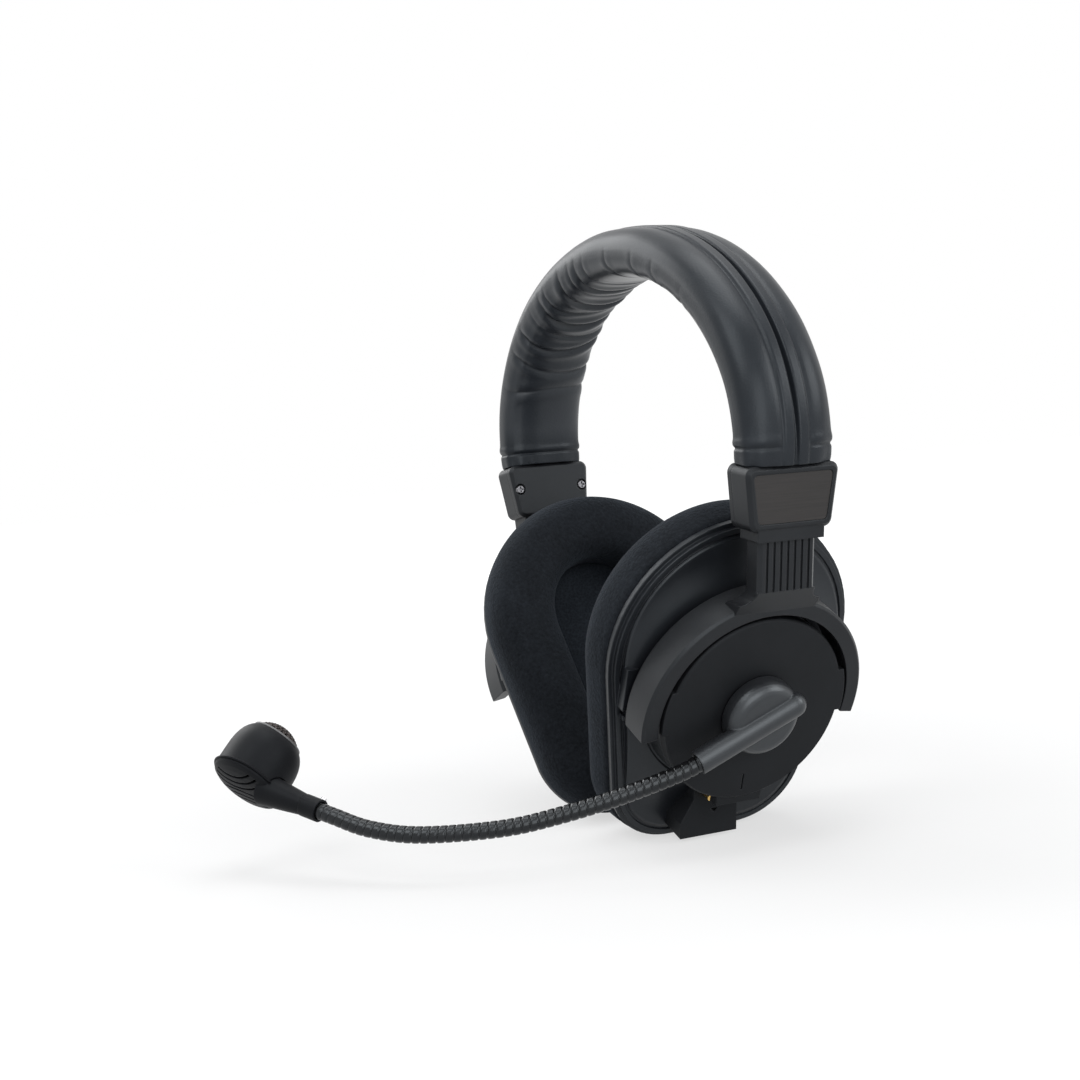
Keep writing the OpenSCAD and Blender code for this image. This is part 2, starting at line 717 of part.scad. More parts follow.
// The slant begins and ends at these shares of the housing's height
slant_from = 0.28;
slant_to = 0.7;
module socket_room(gap) {
    head = socket_left + socket_slant - gap;
    x0 = baffle_seat + seat_gap - gap;
    translate([x0, 0, 0]) rotate([90, 0, 90]) linear_extrude(socket_face + gap - x0) polygon([
        [socket_left - gap, socket_low - gap], [socket_right + gap, socket_low - gap],
        [socket_right + gap, socket_top + gap], [head, socket_top + gap],
        [head, socket_low + slant_to * socket_h], [socket_left - gap, socket_low + slant_from * socket_h]
    ]);
}
contact_r = 1;
contact_y = -5.6;
contact_z = -3.4;
contact_set = 0.3;
// Slope of the housing's face, degrees
socket_rake = 14;
module at_contact() {
    at_cup() translate([0, contact_y, socket_top + contact_z]) children();
}
module socket_housing() {
    color(black_plastic) difference() {
        at_cup() difference() {
            socket_room(0);
            translate([socket_mid, socket_y, socket_low - cut])
                cylinder(d = socket_d, h = socket_len + cut, $fn = small_fn);
            translate([socket_face, 0, socket_low]) rotate([0, -socket_rake, 0])
                box([0, socket_left - cut, -cut], [socket_w, socket_right + cut, 2 * socket_h]);
        }
        at_contact() rod_x(contact_r, socket_mid, 0, small_fn);
    }
}
module socket_contact() {
    color(brass) at_contact() rod_x(contact_r, socket_mid, socket_face - contact_set, small_fn);
}

// Round cap over the cup, with a locating ring below it
cap_ring_t = 1.5;
cap_edge = 0.6;
// The left cap's chin over the socket, with a short slit above it
chin_half_w = 7.8;
chin_y = -0.3;
chin_drop = 2.2;
slit_w = 0.5;
slit_len = 5.5;
// Ears of the cap beside the pivots, inside the fork's ring
ear_r = ring_r - 2.5 * run_gap;
ear_low = -4;
ear_high = 9.8;
axle_r = axle_d / 2;
bush_r = axle_r + shaft_gap + bush_wall;
cap_in_r = cap_r - cup_wall - seat_gap;
module cup_cap(right) {
    hub_seat_r = bush_r + cup_wall;
    color(black_plastic) side(right) at_cup() difference() {
        union() {
            turned_x([[0, -cap_t], [cap_r, -cap_t], [cap_r, -cap_edge], [cap_r - cap_edge, 0], [0, 0]]);
            intersection() {
                rod_x(ear_r, -cap_t / 2, 0);
                box([-cap_t, -ear_r, ear_low], [0, ear_r, ear_high]);
            }
            difference() {
                turned_x([
                    [cap_in_r - cup_wall, -cap_t - cap_ring_t], [cap_in_r, -cap_t - cap_ring_t],
                    [cap_in_r, -cap_t / 2], [cap_in_r - cup_wall, -cap_t / 2]
                ]);
                translate([-pivot_depth, 0, 0]) rod_y(pin_boss_r + seat_gap, -cap_r, cap_r);
            }
            if (!right) {
                turned_x([
                    [0, -cap_t - cap_ring_t], [hub_seat_r, -cap_t - cap_ring_t],
                    [hub_seat_r, -cap_t / 2], [0, -cap_t / 2]
                ]);
                box([-cap_t, chin_y - chin_half_w, -cap_r - chin_drop],
                    [-cap_edge, chin_y + chin_half_w, -cap_r / 2]);
            }
        }
        if (!right) {
            rod_x(bush_r, -cap_t - cap_ring_t - cut, cut, small_fn);
            translate([0, chin_y, -cap_r + slit_len]) {
                box([-cap_edge, -slit_w / 2, -slit_len / 2], [cut, slit_w / 2, slit_len / 2]);
            }
        }
    }
}

// Baffle with sound holes before the driver
sound_hole_r = 1.6;
sound_ring_step = 5;
sound_rings = 3;
module baffle(right) {
    color(dark_plastic) side(right) at_cup() difference() {
        egg_slab(-cup_wall - seat_gap, rim_x, baffle_seat);
        rod_x(sound_hole_r, rim_x - cut, baffle_seat + cut, small_fn);
        for (k = [1 : sound_rings], j = [0 : 6 * k - 1]) {
            rotate([60 * j / k, 0, 0]) translate([0, 0, k * sound_ring_step])
                rod_x(sound_hole_r, rim_x - cut, baffle_seat + cut, small_fn);
        }
    }
}

// Loudspeaker driver on the back of the baffle
driver_flange = 2;
driver_recess = 1;
module driver(right) {
    magnet_r = driver_r / 2;
    cone_r = driver_r - driver_flange;
    color(steel) side(right) at_cup() translate([baffle_seat, 0, 0]) turned_x([
        [0, driver_recess], [cone_r - driver_flange, driver_recess], [cone_r, 0], [driver_r, 0],
        [driver_r, driver_flange], [cone_r, driver_flange], [magnet_r + driver_flange, driver_t - cut],
        [magnet_r, driver_t], [0, driver_t]
    ]);
}

// Velour ear pad: a crowned ring that bulges past the rim and is drawn in where it meets it
pad_points = 48;
function pad_normal(i) = let (a = 90 + 360 * (i + 0.5) / pad_points) [cos(a), sin(a)];
// Section of the ring as [grow from the rim's edge, depth below the rim]
pad_section = [
    [-0.25 * pad_bulge, 0], [pad_bulge, 0.2 * pad_t], [1.1 * pad_bulge, 0.48 * pad_t],
    [0.3 * pad_bulge, 0.78 * pad_t], [-0.2 * pad_w, 0.96 * pad_t], [-0.48 * pad_w, pad_t],
    [-0.78 * pad_w, 0.93 * pad_t], [-0.96 * pad_w, 0.7 * pad_t], [-pad_w, 0.36 * pad_t],
    [-0.94 * pad_w, 0], [-0.5 * pad_w, 0]
];
module ear_pad(right) {
    color(velour) side(right) at_cup() loop_solid([
        for (i = [0 : pad_points - 1]) [
            for (s = pad_section) let (p = egg_point(pad_normal(i), s[0])) [rim_x - s[1], p[0], p[1]]
        ]
    ]);
}

// Boom: a domed hub that turns on the left cap, with an arm across it that holds the gooseneck
hub_foot = 3.2;
dome_steps = 6;
arm_x = 6.3;
arm_back = 9.6;
goose_seat = 5;
washer_t = 0.8;
boom_screw_r = 1;
boom_screw_head = 0.9;
axle_end = -cap_t - cap_ring_t - run_gap;
arm_dir = [0, -cos(arm_slope), -sin(arm_slope)];
arm_tip = [arm_x, 0, 0] + arm_len * arm_dir;
// Frame of the arm, which runs along -Y
module at_arm() {
    at_cup() translate([arm_x, 0, 0]) rotate([arm_slope, 0, 0]) children();
}

module boom_bush() {
    low = -cap_t - cap_ring_t;
    color(brass) at_cup() turned_x([
        [axle_r + shaft_gap, low], [bush_r, low], [bush_r, 0], [axle_r + shaft_gap, 0]
    ]);
}

// A quarter of a rounded edge, from its side to its top, as [radius, height]
function rounded(side_r, top_r, side_h, top_h) = [
    for (k = [0 : dome_steps]) let (a = 90 * k / dome_steps)
        [top_r + (side_r - top_r) * cos(a), side_h + (top_h - side_h) * sin(a)]
];

module boom_hub() {
    color(dark_plastic) difference() {
        union() {
            at_cup() turned_x(concat(
                [[0, axle_end], [axle_r, axle_end], [axle_r, run_gap]],
                [[hub_r - cap_edge, run_gap], [hub_r, run_gap + cap_edge]],
                rounded(hub_r, hub_top_r, hub_foot, hub_h),
                [[0, hub_h]]
            ));
            at_arm() rotate([-90, 0, 0]) rotate_extrude($fn = small_fn) polygon(concat(
                [[0, -arm_len], [arm_d / 2, -arm_len]], rounded(arm_d / 2, 0, arm_back, arm_back + arm_d / 2)
            ));
        }
        at_arm() rod_y(goose_d / 2 + goose_gap, -arm_len - cut, goose_seat - arm_len);
        at_cup() rod_x(boom_screw_r, axle_end - cut, -cap_t / 2, small_fn);
    }
}
module boom_washer() {
    color(steel) at_cup() turned_x([
        [boom_screw_r + seat_gap, axle_end - washer_t], [bush_r + cup_wall, axle_end - washer_t],
        [bush_r + cup_wall, axle_end], [boom_screw_r + seat_gap, axle_end]
    ]);
}
module boom_screw() {
    x = axle_end - washer_t;
    color(steel) at_cup() turned_x([
        [0, x - boom_screw_head], [2 * boom_screw_r, x - boom_screw_head], [2 * boom_screw_r, x],
        [boom_screw_r, x], [boom_screw_r, -cap_t / 2 - cut / 2], [0, -cap_t / 2 - cut / 2]
    ]);
}

// Gooseneck: its route in the cup's frame, straight where it leaves the arm and enters the collar
mic_root = [-boom_inset, -boom_reach, -boom_drop];
// Points between, as shares of the collar's inset, reach and drop
goose_bends = [
    [-0.059, 0.375, 0.508], [0.059, 0.51, 0.672], [0.187, 0.642, 0.797],
    [0.428, 0.814, 0.919], [0.669, 0.913, 0.979]
];
mic_dir = unit([-0.857, -0.507, -0.086]);
grille_dir = unit([-0.513, 0.722, 0.465]);
goose_route = concat(
    [arm_tip - (goose_seat - run_gap) * arm_dir, arm_tip + goose_d * arm_dir],
    [for (b = goose_bends) [b[0] * mic_root[0], b[1] * mic_root[1], b[2] * mic_root[2]]],
    [mic_root - goose_d * mic_dir, mic_root + (goose_seat - run_gap) * mic_dir]
);
goose_spans = len(goose_route) - 1;
// Point on the smooth curve through the route, u running from 0 to goose_spans
function route_at(i) =
    i < 0 ? 2 * goose_route[0] - goose_route[1]
    : i > goose_spans ? 2 * goose_route[goose_spans] - goose_route[goose_spans - 1] : goose_route[i];
function route_point(u) =
    let (i = min(floor(u), goose_spans - 1), f = u - i)
    let (a = route_at(i - 1), b = route_at(i), c = route_at(i + 1), d = route_at(i + 2))
    b + (c - a) * f / 2 + (2 * a - 5 * b + 4 * c - d) * f * f / 2 + (3 * b - a - 3 * c + d) * f * f * f / 2;
goose_samples = 120;
goose_fine = [for (k = [0 : goose_samples]) route_point(goose_spans * k / goose_samples)];
goose_steps = [for (k = [1 : goose_samples]) norm(goose_fine[k] - goose_fine[k - 1])];
function running(v, k = 0, sum = 0) = k == len(v) ? [sum] : concat([sum], running(v, k + 1, sum + v[k]));
goose_run = running(goose_steps);
goose_length = goose_run[goose_samples];
// Curve parameter at a length along the gooseneck
goose_table = [for (k = [0 : goose_samples]) [goose_run[k], goose_spans * k / goose_samples]];
function goose_u(s) = lookup(s, goose_table);
function goose_ring(s, r, sides) =
    let (u = goose_u(s), h = 0.02)
    let (t = unit(route_point(min(u + h, goose_spans)) - route_point(max(u - h, 0))))
    let (e = unit(cross(t, [1, 0, 0])), g = cross(t, e))
    [for (j = [0 : sides - 1]) route_point(u) + r * (cos(360 * j / sides) * e + sin(360 * j / sides) * g)];
goose_sides = 8;
bore_rings = 20;
module gooseneck() {
    pitch = goose_length / rib_count;
    color(black_plastic) at_cup() tube_solid(
        [for (k = [0 : 2 * rib_count])
            goose_ring(pitch * k / 2, goose_d / 2 - (k % 2 == 0 ? rib_depth : 0), goose_sides)],
        [for (k = [0 : bore_rings]) goose_ring(goose_length * k / bore_rings, goose_bore_d / 2, goose_sides)]
    );
}

// Microphone: frame with +X along the neck away from its collar and +Z towards the bulb
mic_up = unit(grille_dir - (grille_dir * mic_dir) * mic_dir);
mic_side = cross(mic_up, mic_dir);
module at_mic() {
    at_cup() multmatrix([
        [mic_dir[0], mic_side[0], mic_up[0], mic_root[0]],
        [mic_dir[1], mic_side[1], mic_up[1], mic_root[1]],
        [mic_dir[2], mic_side[2], mic_up[2], mic_root[2]]
    ]) children();
}
// Frame of the bulb: origin in the middle of its seam, +Z through the grille
grille_lean = -asin(grille_dir * mic_dir);
module at_bulb() {
    at_mic() translate([mic_reach, 0, -mic_sink]) rotate([0, -grille_lean, 0]) children();
}
collar_len = 6;
collar_lip = 0.2;
collar_r = neck_d / 2 + collar_lip;
module mic_collar() {
    color(black_plastic) at_mic() difference() {
        rod_x(collar_r, 0, collar_len, small_fn);
        rod_x(goose_d / 2 + goose_gap, -cut, goose_seat, small_fn);
        translate([collar_pin_x, 0, 0]) cylinder(r = collar_pin_r, h = 2 * collar_r, $fn = small_fn);
    }
}
collar_pin_r = 0.9;
collar_pin_x = 1.6;
collar_pin_rise = 0.9;
module mic_collar_pin() {
    pin_foot = goose_d / 2 + 2 * goose_gap;
    color(steel) at_mic() translate([collar_pin_x, 0, pin_foot])
        cylinder(r = collar_pin_r, h = collar_r + collar_pin_rise - pin_foot, $fn = small_fn);
}

// The front shell above the seam: a slight taper, then a shoulder that rounds in to the grille's rim
ring_rim = 0.8;
ring_rim_r = grille_r + ring_rim;
shoulder_low = mic_rise - mic_round;
shoulder_reach = mic_round / sqrt(1 - pow(ring_rim_r / mic_top_r, 2));
function taper_r(z) = mic_r + (mic_top_r - mic_r) * z / shoulder_low;
// Outline of the shoulder, drawn in by wall
function bulb_profile(wall) = [
    for (k = [0 : dome_steps]) let (h = mic_round * k / dome_steps)
        [mic_top_r * sqrt(1 - pow(h / shoulder_reach, 2)) - wall, shoulder_low + h]
];
function backwards(v) = [for (k = [len(v) - 1 : -1 : 0]) v[k]];
seam_gap = 0.15;
// Bead along the front shell's edge at the seam
bead_h = 0.7;
bead_out = 0.35;
// The neck ends this far from the bulb's middle
neck_inset = 7;
// The tapered neck, grown by gap
module neck(gap) {
    neck_len = mic_reach - collar_len - neck_inset;
    at_mic() translate([collar_len, 0, 0]) rotate([0, 90, 0])
        cylinder(d1 = neck_d + 2 * gap, d2 = neck_root_d + 2 * gap, h = neck_len, $fn = small_fn);
}
// Curved slots in the back, on both sides of the neck's plane, about points beside the bulb
slot_centre = [2, 18.3];
slot_first_r = 12.6;
slot_pitch = 2.45;
slot_count = 3;
slot_w = 0.8;
module slots() {
    intersection() {
        cylinder(r = mic_r - 1.2 * mic_wall, h = 4 * mic_drop, center = true, $fn = round_fn);
        for (s = [1, -1], k = [0 : slot_count - 1]) {
            r = slot_first_r + k * slot_pitch;
            translate([slot_centre[0], s * slot_centre[1], -2 * mic_drop]) difference() {
                cylinder(r = r + slot_w / 2, h = 2 * mic_drop, $fn = 2 * round_fn);
                cylinder(r = r - slot_w / 2, h = 2 * mic_drop, $fn = 2 * round_fn);
            }
        }
    }
}
module mic_back() {
    color(dark_plastic) difference() {
        union() {
            at_bulb() difference() {
                rotate_extrude($fn = round_fn) polygon(concat(
                    [[0, -seam_gap]], rounded(mic_r, 0, -seam_gap, -mic_drop)
                ));
                slots();
            }
            neck(0);
        }
        at_bulb() rotate_extrude($fn = round_fn) polygon(concat(
            [[0, mic_rise], [mic_r - mic_wall, mic_rise]],
            rounded(mic_r - mic_wall, 0, -seam_gap, mic_wall - mic_drop)
        ));
    }
}
module mic_body() {
    color(dark_plastic) difference() {
        at_bulb() rotate_extrude($fn = round_fn) polygon(concat(
            [[mic_r - mic_wall, 0], [mic_r + bead_out, 0], [mic_r + 2 * bead_out, bead_h / 2]],
            [[mic_r + bead_out, bead_h], [taper_r(bead_h), bead_h]],
            bulb_profile(0), backwards(bulb_profile(mic_wall))
        ));
        neck(2 * seam_gap);
    }
}

// Bright ring round the grille, the domed grille inside it and the capsule below
ring_t = 0.8;
grille_t = 0.5;
dome_r = (grille_r * grille_r + grille_rise * grille_rise) / (2 * grille_rise);
dome_z = mic_rise + ring_t + grille_rise - dome_r;
module mic_ring() {
    color(steel) at_bulb() rotate_extrude($fn = round_fn) polygon([
        [grille_r, mic_rise], [ring_rim_r, mic_rise], [ring_rim_r, mic_rise + ring_t / 2],
        [ring_rim_r - ring_t / 2, mic_rise + ring_t], [grille_r, mic_rise + ring_t]
    ]);
}
grille_pitch = 1.5;
grille_rings = 3;
module mic_grille() {
    foot_r = grille_r - seat_gap;
    color(black_plastic) at_bulb() difference() {
        intersection() {
            translate([0, 0, mic_rise]) cylinder(r = foot_r, h = dome_r, $fn = round_fn);
            difference() {
                translate([0, 0, dome_z]) sphere(r = dome_r, $fn = round_fn);
                translate([0, 0, dome_z]) sphere(r = dome_r - grille_t, $fn = round_fn);
            }
        }
        for (k = [0 : grille_rings], j = [0 : max(6 * k - 1, 0)]) {
            rotate([0, 0, k > 0 ? 60 * j / k : 0]) translate([k * grille_pitch, 0, mic_rise])
                cylinder(d = grille_hole_d, h = dome_r, $fn = 16);
        }
    }
}
capsule_t = 5;
capsule_plate = 1;
capsule_z = shoulder_low - 2 * capsule_plate;
module mic_capsule() {
    plate_r = taper_r(capsule_z + capsule_plate) - mic_wall - seat_gap;
    can_r = grille_r - mic_wall;
    color("gray") at_bulb() translate([0, 0, capsule_z]) rotate_extrude($fn = round_fn) polygon([
        [0, 0], [plate_r, 0], [plate_r, capsule_plate],
        [can_r, capsule_plate], [can_r, capsule_t], [0, capsule_t]
    ]);
}

headband_cover();
headband_foam();
headband_spring();
end_block(false);  // end_block_left
end_block(true);  // end_block_right
block_cover(false);  // block_cover_left
block_cover(true);  // block_cover_right
block_screws();
label_plate();
fork(false);  // fork_left
fork(true);  // fork_right
pivot_pins(false);  // pivot_pins_left
pivot_pins(true);  // pivot_pins_right
cup_shell(false);  // cup_shell_left
cup_shell(true);  // cup_shell_right
cup_cap(false);  // cup_cap_left
cup_cap(true);  // cup_cap_right
baffle(false);  // baffle_left
baffle(true);  // baffle_right
driver(false);  // driver_left
driver(true);  // driver_right
ear_pad(false);  // ear_pad_left
ear_pad(true);  // ear_pad_right
socket_housing();
socket_contact();
boom_bush();
boom_hub();
boom_washer();
boom_screw();
gooseneck();
mic_collar();
mic_collar_pin();
mic_back();
mic_body();
mic_ring();
mic_grille();
mic_capsule();
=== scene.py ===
import bpy
import math
import numpy as np
from mathutils import Matrix, Vector, noise


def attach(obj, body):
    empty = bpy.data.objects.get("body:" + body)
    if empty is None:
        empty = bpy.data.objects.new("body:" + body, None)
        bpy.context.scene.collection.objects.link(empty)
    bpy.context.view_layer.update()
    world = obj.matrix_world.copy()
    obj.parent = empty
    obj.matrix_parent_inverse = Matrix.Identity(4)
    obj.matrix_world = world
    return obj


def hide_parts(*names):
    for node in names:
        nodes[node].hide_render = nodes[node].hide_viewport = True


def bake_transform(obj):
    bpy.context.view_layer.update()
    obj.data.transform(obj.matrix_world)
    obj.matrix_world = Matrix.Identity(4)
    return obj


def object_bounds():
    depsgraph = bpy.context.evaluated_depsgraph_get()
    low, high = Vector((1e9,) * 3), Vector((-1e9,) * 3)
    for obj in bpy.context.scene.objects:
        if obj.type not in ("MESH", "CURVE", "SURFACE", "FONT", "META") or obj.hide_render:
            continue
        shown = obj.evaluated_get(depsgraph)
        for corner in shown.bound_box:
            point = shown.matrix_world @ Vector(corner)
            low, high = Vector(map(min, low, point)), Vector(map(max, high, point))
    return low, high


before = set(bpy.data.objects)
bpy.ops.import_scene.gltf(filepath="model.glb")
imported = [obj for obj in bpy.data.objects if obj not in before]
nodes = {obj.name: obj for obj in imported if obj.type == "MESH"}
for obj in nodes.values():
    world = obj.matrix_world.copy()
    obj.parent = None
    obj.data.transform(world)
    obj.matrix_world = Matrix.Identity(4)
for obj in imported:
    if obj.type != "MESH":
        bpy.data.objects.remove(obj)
cad_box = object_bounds()
mm = 0.001

# Studio: a plain white floor under soft boxes, with the camera where the photograph was taken.
# The background is white to the camera and in reflections; the lamps and a dim world light the object.
scene = bpy.context.scene
scene.view_settings.view_transform = "Standard"
scene.view_settings.look = "None"


class Wire:
    """A shader socket; arithmetic on it adds Math nodes to its tree."""

    def __init__(self, tree, socket=None):
        self.tree = tree
        self.socket = socket

    def add(self, kind, settings=None, inputs=None, out=0):
        node = self.tree.nodes.new(kind)
        for name, value in (settings or {}).items():
            if name == "stops":
                ramp = node.color_ramp
                while len(ramp.elements) < len(value):
                    ramp.elements.new(0.5)
                for element, (place, tone) in zip(ramp.elements, value):
                    element.position = place
                    element.color = (*tone, 1.0) if isinstance(tone, tuple) else (tone, tone, tone, 1.0)
            else:
                setattr(node, name, value)
        for name, value in (inputs or {}).items():
            if isinstance(value, Wire):
                self.tree.links.new(value.socket, node.inputs[name])
            else:
                node.inputs[name].default_value = value
        return Wire(self.tree, node.outputs[out] if node.outputs else None)

    def other(self, name):
        return Wire(self.tree, self.socket.node.outputs[name])

    def math(self, operation, first, second=0.0):
        return self.add("ShaderNodeMath", {"operation": operation}, {0: first, 1: second})

    def __add__(self, other):
        return self.math("ADD", self, other)

    def __sub__(self, other):
        return self.math("SUBTRACT", self, other)

    def __mul__(self, other):
        return self.math("MULTIPLY", self, other)

    def __rsub__(self, other):
        return self.math("SUBTRACT", other, self)

    __radd__ = __add__


def seen_directly(wire):
    """1 for what the camera sees, straight, mirrored or through glass; 0 for what only lights the object."""
    rays = wire.add("ShaderNodeLightPath")
    mirrored = wire.math("MAXIMUM", rays.other("Is Glossy Ray"), rays.other("Is Transmission Ray"))
    return wire.math("MAXIMUM", rays, mirrored)


world = bpy.data.worlds.new("studio_white")
scene.world = world
world.use_nodes = True
world.node_tree.nodes.clear()
sky = Wire(world.node_tree)
dim = sky.add("ShaderNodeBackground", inputs={"Color": (0.92, 0.96, 1.0, 1.0), "Strength": 0.34})
white = sky.add("ShaderNodeBackground", inputs={"Color": (1.0, 1.0, 1.0, 1.0), "Strength": 1.0})
backdrop = sky.add("ShaderNodeMixShader", inputs={0: seen_directly(sky), 1: dim, 2: white})
sky.add("ShaderNodeOutputWorld", inputs={"Surface": backdrop})

floor_gap = 0.2 * mm
bpy.ops.object.select_all(action="DESELECT")
bpy.ops.mesh.primitive_plane_add(size=6.0, location=(0.0, 0.0, cad_box[0][2] - floor_gap))
floor = bpy.context.object
floor.name = "floor"
floor_paint = bpy.data.materials.new("floor_white")
floor_paint.use_nodes = True
floor_paint.node_tree.nodes.clear()
w = Wire(floor_paint.node_tree)
# Near the object the floor shows the lamps' light and the shadow; further out it glows to plain white
place = w.add("ShaderNodeTexCoord", out=3)
distance = w.add("ShaderNodeVectorMath", {"operation": "LENGTH"}, {0: place}, out=1)
glow = w.add("ShaderNodeValToRGB", {"stops": [(0.06, 0.62), (0.45, 1.0)]}, {"Fac": distance * 0.5})
shown = w.add("ShaderNodeAddShader", inputs={
    0: w.add("ShaderNodeEmission", inputs={"Color": glow}),
    1: w.add("ShaderNodeBsdfDiffuse", inputs={"Color": (0.26, 0.26, 0.26, 1.0)}),
})
lit = w.add("ShaderNodeBsdfDiffuse", inputs={"Color": (0.34, 0.34, 0.35, 1.0)})
surface = w.add("ShaderNodeMixShader", inputs={0: seen_directly(w), 1: lit, 2: shown})
w.add("ShaderNodeOutputMaterial", inputs={"Surface": surface})
floor.data.materials.append(floor_paint)

for name, place, aim, size, power in (
    ("key_box", (0.35, -0.85, 1.0), (0.0, -0.02, 0.05), 0.7, 5.8),
    ("fill_box", (1.0, -0.25, 0.25), (0.0, 0.0, 0.05), 0.8, 6.0),
    ("side_box", (0.75, 0.75, 0.55), (0.03, 0.0, 0.04), 0.6, 5.0),
    ("back_box", (-0.8, -0.35, 0.6), (0.0, 0.0, 0.07), 0.7, 5.5),
    ("top_box", (0.0, 0.1, 1.15), (0.0, 0.0, 0.1), 0.8, 6.5),
):
    lamp = bpy.data.lights.new(name, "AREA")
    lamp.shape = "SQUARE"
    lamp.size = size
    lamp.energy = power
    holder = bpy.data.objects.new(name, lamp)
    scene.collection.objects.link(holder)
    turned = (Vector(aim) - Vector(place)).to_track_quat("-Z", "Y").to_matrix().to_4x4()
    holder.matrix_world = Matrix.Translation(place) @ turned

# The camera, as fitted to the photograph
camera_at = (0.4876, -0.2712, 0.0885)
focal_px, picture_px, sensor_mm = 1738.0, 1080.0, 36.0
view_turn, view_height, view_roll = math.radians(64.6), math.radians(3.84), math.radians(-3.85)
level = Vector((math.cos(view_turn), math.sin(view_turn), 0.0))
towards = Vector((
    math.sin(view_turn) * math.cos(view_height),
    -math.cos(view_turn) * math.cos(view_height),
    math.sin(view_height),
))
upright = towards.cross(level)
camera_x = math.cos(view_roll) * level + math.sin(view_roll) * upright
camera_y = math.cos(view_roll) * upright - math.sin(view_roll) * level
camera = bpy.data.objects.new("camera", bpy.data.cameras.new("camera"))
scene.collection.objects.link(camera)
camera.data.sensor_width = sensor_mm
camera.data.sensor_fit = "HORIZONTAL"
camera.data.lens = sensor_mm * focal_px / picture_px
camera.data.clip_start = 0.01
camera_turn = Matrix((camera_x, camera_y, towards)).transposed().to_4x4()
camera.matrix_world = Matrix.Translation(camera_at) @ camera_turn
scene.camera = camera

# Headband cover: a leatherette sleeve drawn over foam and closed along the top, where its two turned edges
# meet in a slit. It is gathered at both end blocks, and its underside is folded where the arch squeezes it.
band_half_span, band_rise, band_wide_z, block_top_z = 78.5, 59.8, 80.0, 73.2
band_half_w = 14.75
band_end_half, band_crown_half = 6.7, 7.75
arch_start = -math.asin((band_wide_z - block_top_z) / band_rise)
arch_stop = math.pi - arch_start


def arch_point(t):
    return np.array([band_half_span * math.cos(t), 0.0, band_wide_z + band_rise * math.sin(t)])


def arch_normal(t):
    n = np.array([band_rise * math.cos(t), 0.0, band_half_span * math.sin(t)])
    return n / np.linalg.norm(n)


def smooth(a, b, x):
    s = np.clip((x - a) / (b - a), 0.0, 1.0)
    return s * s * (3.0 - 2.0 * s)


def hump(x, middle, width):
    return np.exp(-((x - middle) / width) ** 2)


def grid_piece(name, points, closed_rows, closed_ends):
    """A smooth mesh through rows of points, in millimetres; each row is a closed ring."""
    rows, count = points.shape[0], points.shape[1]
    faces = []
    for i in range(rows if closed_rows else rows - 1):
        a, b = i * count, (i + 1) % rows * count
        faces += [(a + j, a + (j + 1) % count, b + (j + 1) % count, b + j) for j in range(count)]
    if closed_ends:
        faces.append(tuple(range(count - 1, -1, -1)))
        faces.append(tuple((rows - 1) * count + j for j in range(count)))
    mesh = bpy.data.meshes.new(name)
    mesh.from_pydata([tuple(p) for p in points.reshape(-1, 3) * mm], [], faces)
    mesh.validate()
    mesh.polygons.foreach_set("use_smooth", [len(f.vertices) == 4 for f in mesh.polygons])
    piece = bpy.data.objects.new(name, mesh)
    scene.collection.objects.link(piece)
    return piece


# Across the top: the slit, the two flat turned edges beside it, and the padded halves
top_y = [0.0, 0.35, 0.55, 0.75, 1.0, 1.5, 2.3, 3.1, 3.7, 4.0, 4.3, 4.7, 5.4, 6.4, 7.6, 9.0]
squareness, under_steps = 2.7, 30
half_turn = [math.acos((y / band_half_w) ** (squareness / 2.0)) for y in top_y]
half_turn += list(np.linspace(half_turn[-1], -math.pi / 2, under_steps)[1:])
turns = np.array(half_turn + [math.pi - a for a in half_turn[-2:0:-1]])
stations = 640
reach = np.linspace(arch_start, arch_stop, stations)
lengths = np.concatenate([[0.0], np.cumsum([
    np.linalg.norm(arch_point(b) - arch_point(a)) for a, b in zip(reach[:-1], reach[1:])
])])
# Folds across the underside: place on the arch in degrees, depth, half width, sag and slant of the line
folds = [
    (101, 1.5, 0.8, 5.0, 1.0), (111, 1.9, 0.9, 6.5, 2.0), (123, 1.7, 0.9, 6.0, 1.0),
    (136, 1.3, 0.9, 5.0, -1.0), (147, 0.8, 0.9, 3.0, 2.0), (158, 0.6, 1.0, -2.0, -1.0),
    (96, 0.5, 0.6, 3.0, 0.0), (106, 0.6, 0.6, 4.0, 3.0), (117, 0.7, 0.6, 5.0, -2.0),
    (130, 0.5, 0.6, 4.0, 2.0), (84, 0.5, 0.7, 1.5, -1.0), (73, 0.5, 0.7, 2.5, 1.0),
    (61, 0.6, 0.8, 3.0, -2.0), (49, 0.4, 0.9, 2.0, 1.0),
]
fold_clear, bank_rise, bank_at, bank_w = (6.0, 16.0), 0.45, 3.0, 2.2
# Lengths along the band from a block: full padding, and the draw-in at the end
padding_run, draw_in, draw_run = 24.0, 0.025, 1.2
# Beside the slit, by distance from the middle: the swollen halves, the turned edges, their seam and the slit
swell_rise, swell_at, swell_w = 0.55, 9.0, 3.4
edge_rise, edge_inner, edge_outer, edge_at_end = 0.65, (0.55, 1.0), (4.3, 3.8), 0.35
edge_seam, edge_seam_at, edge_seam_w = 0.35, 4.5, 0.35
slit_depth, slit_side = 1.5, (0.85, 0.45)
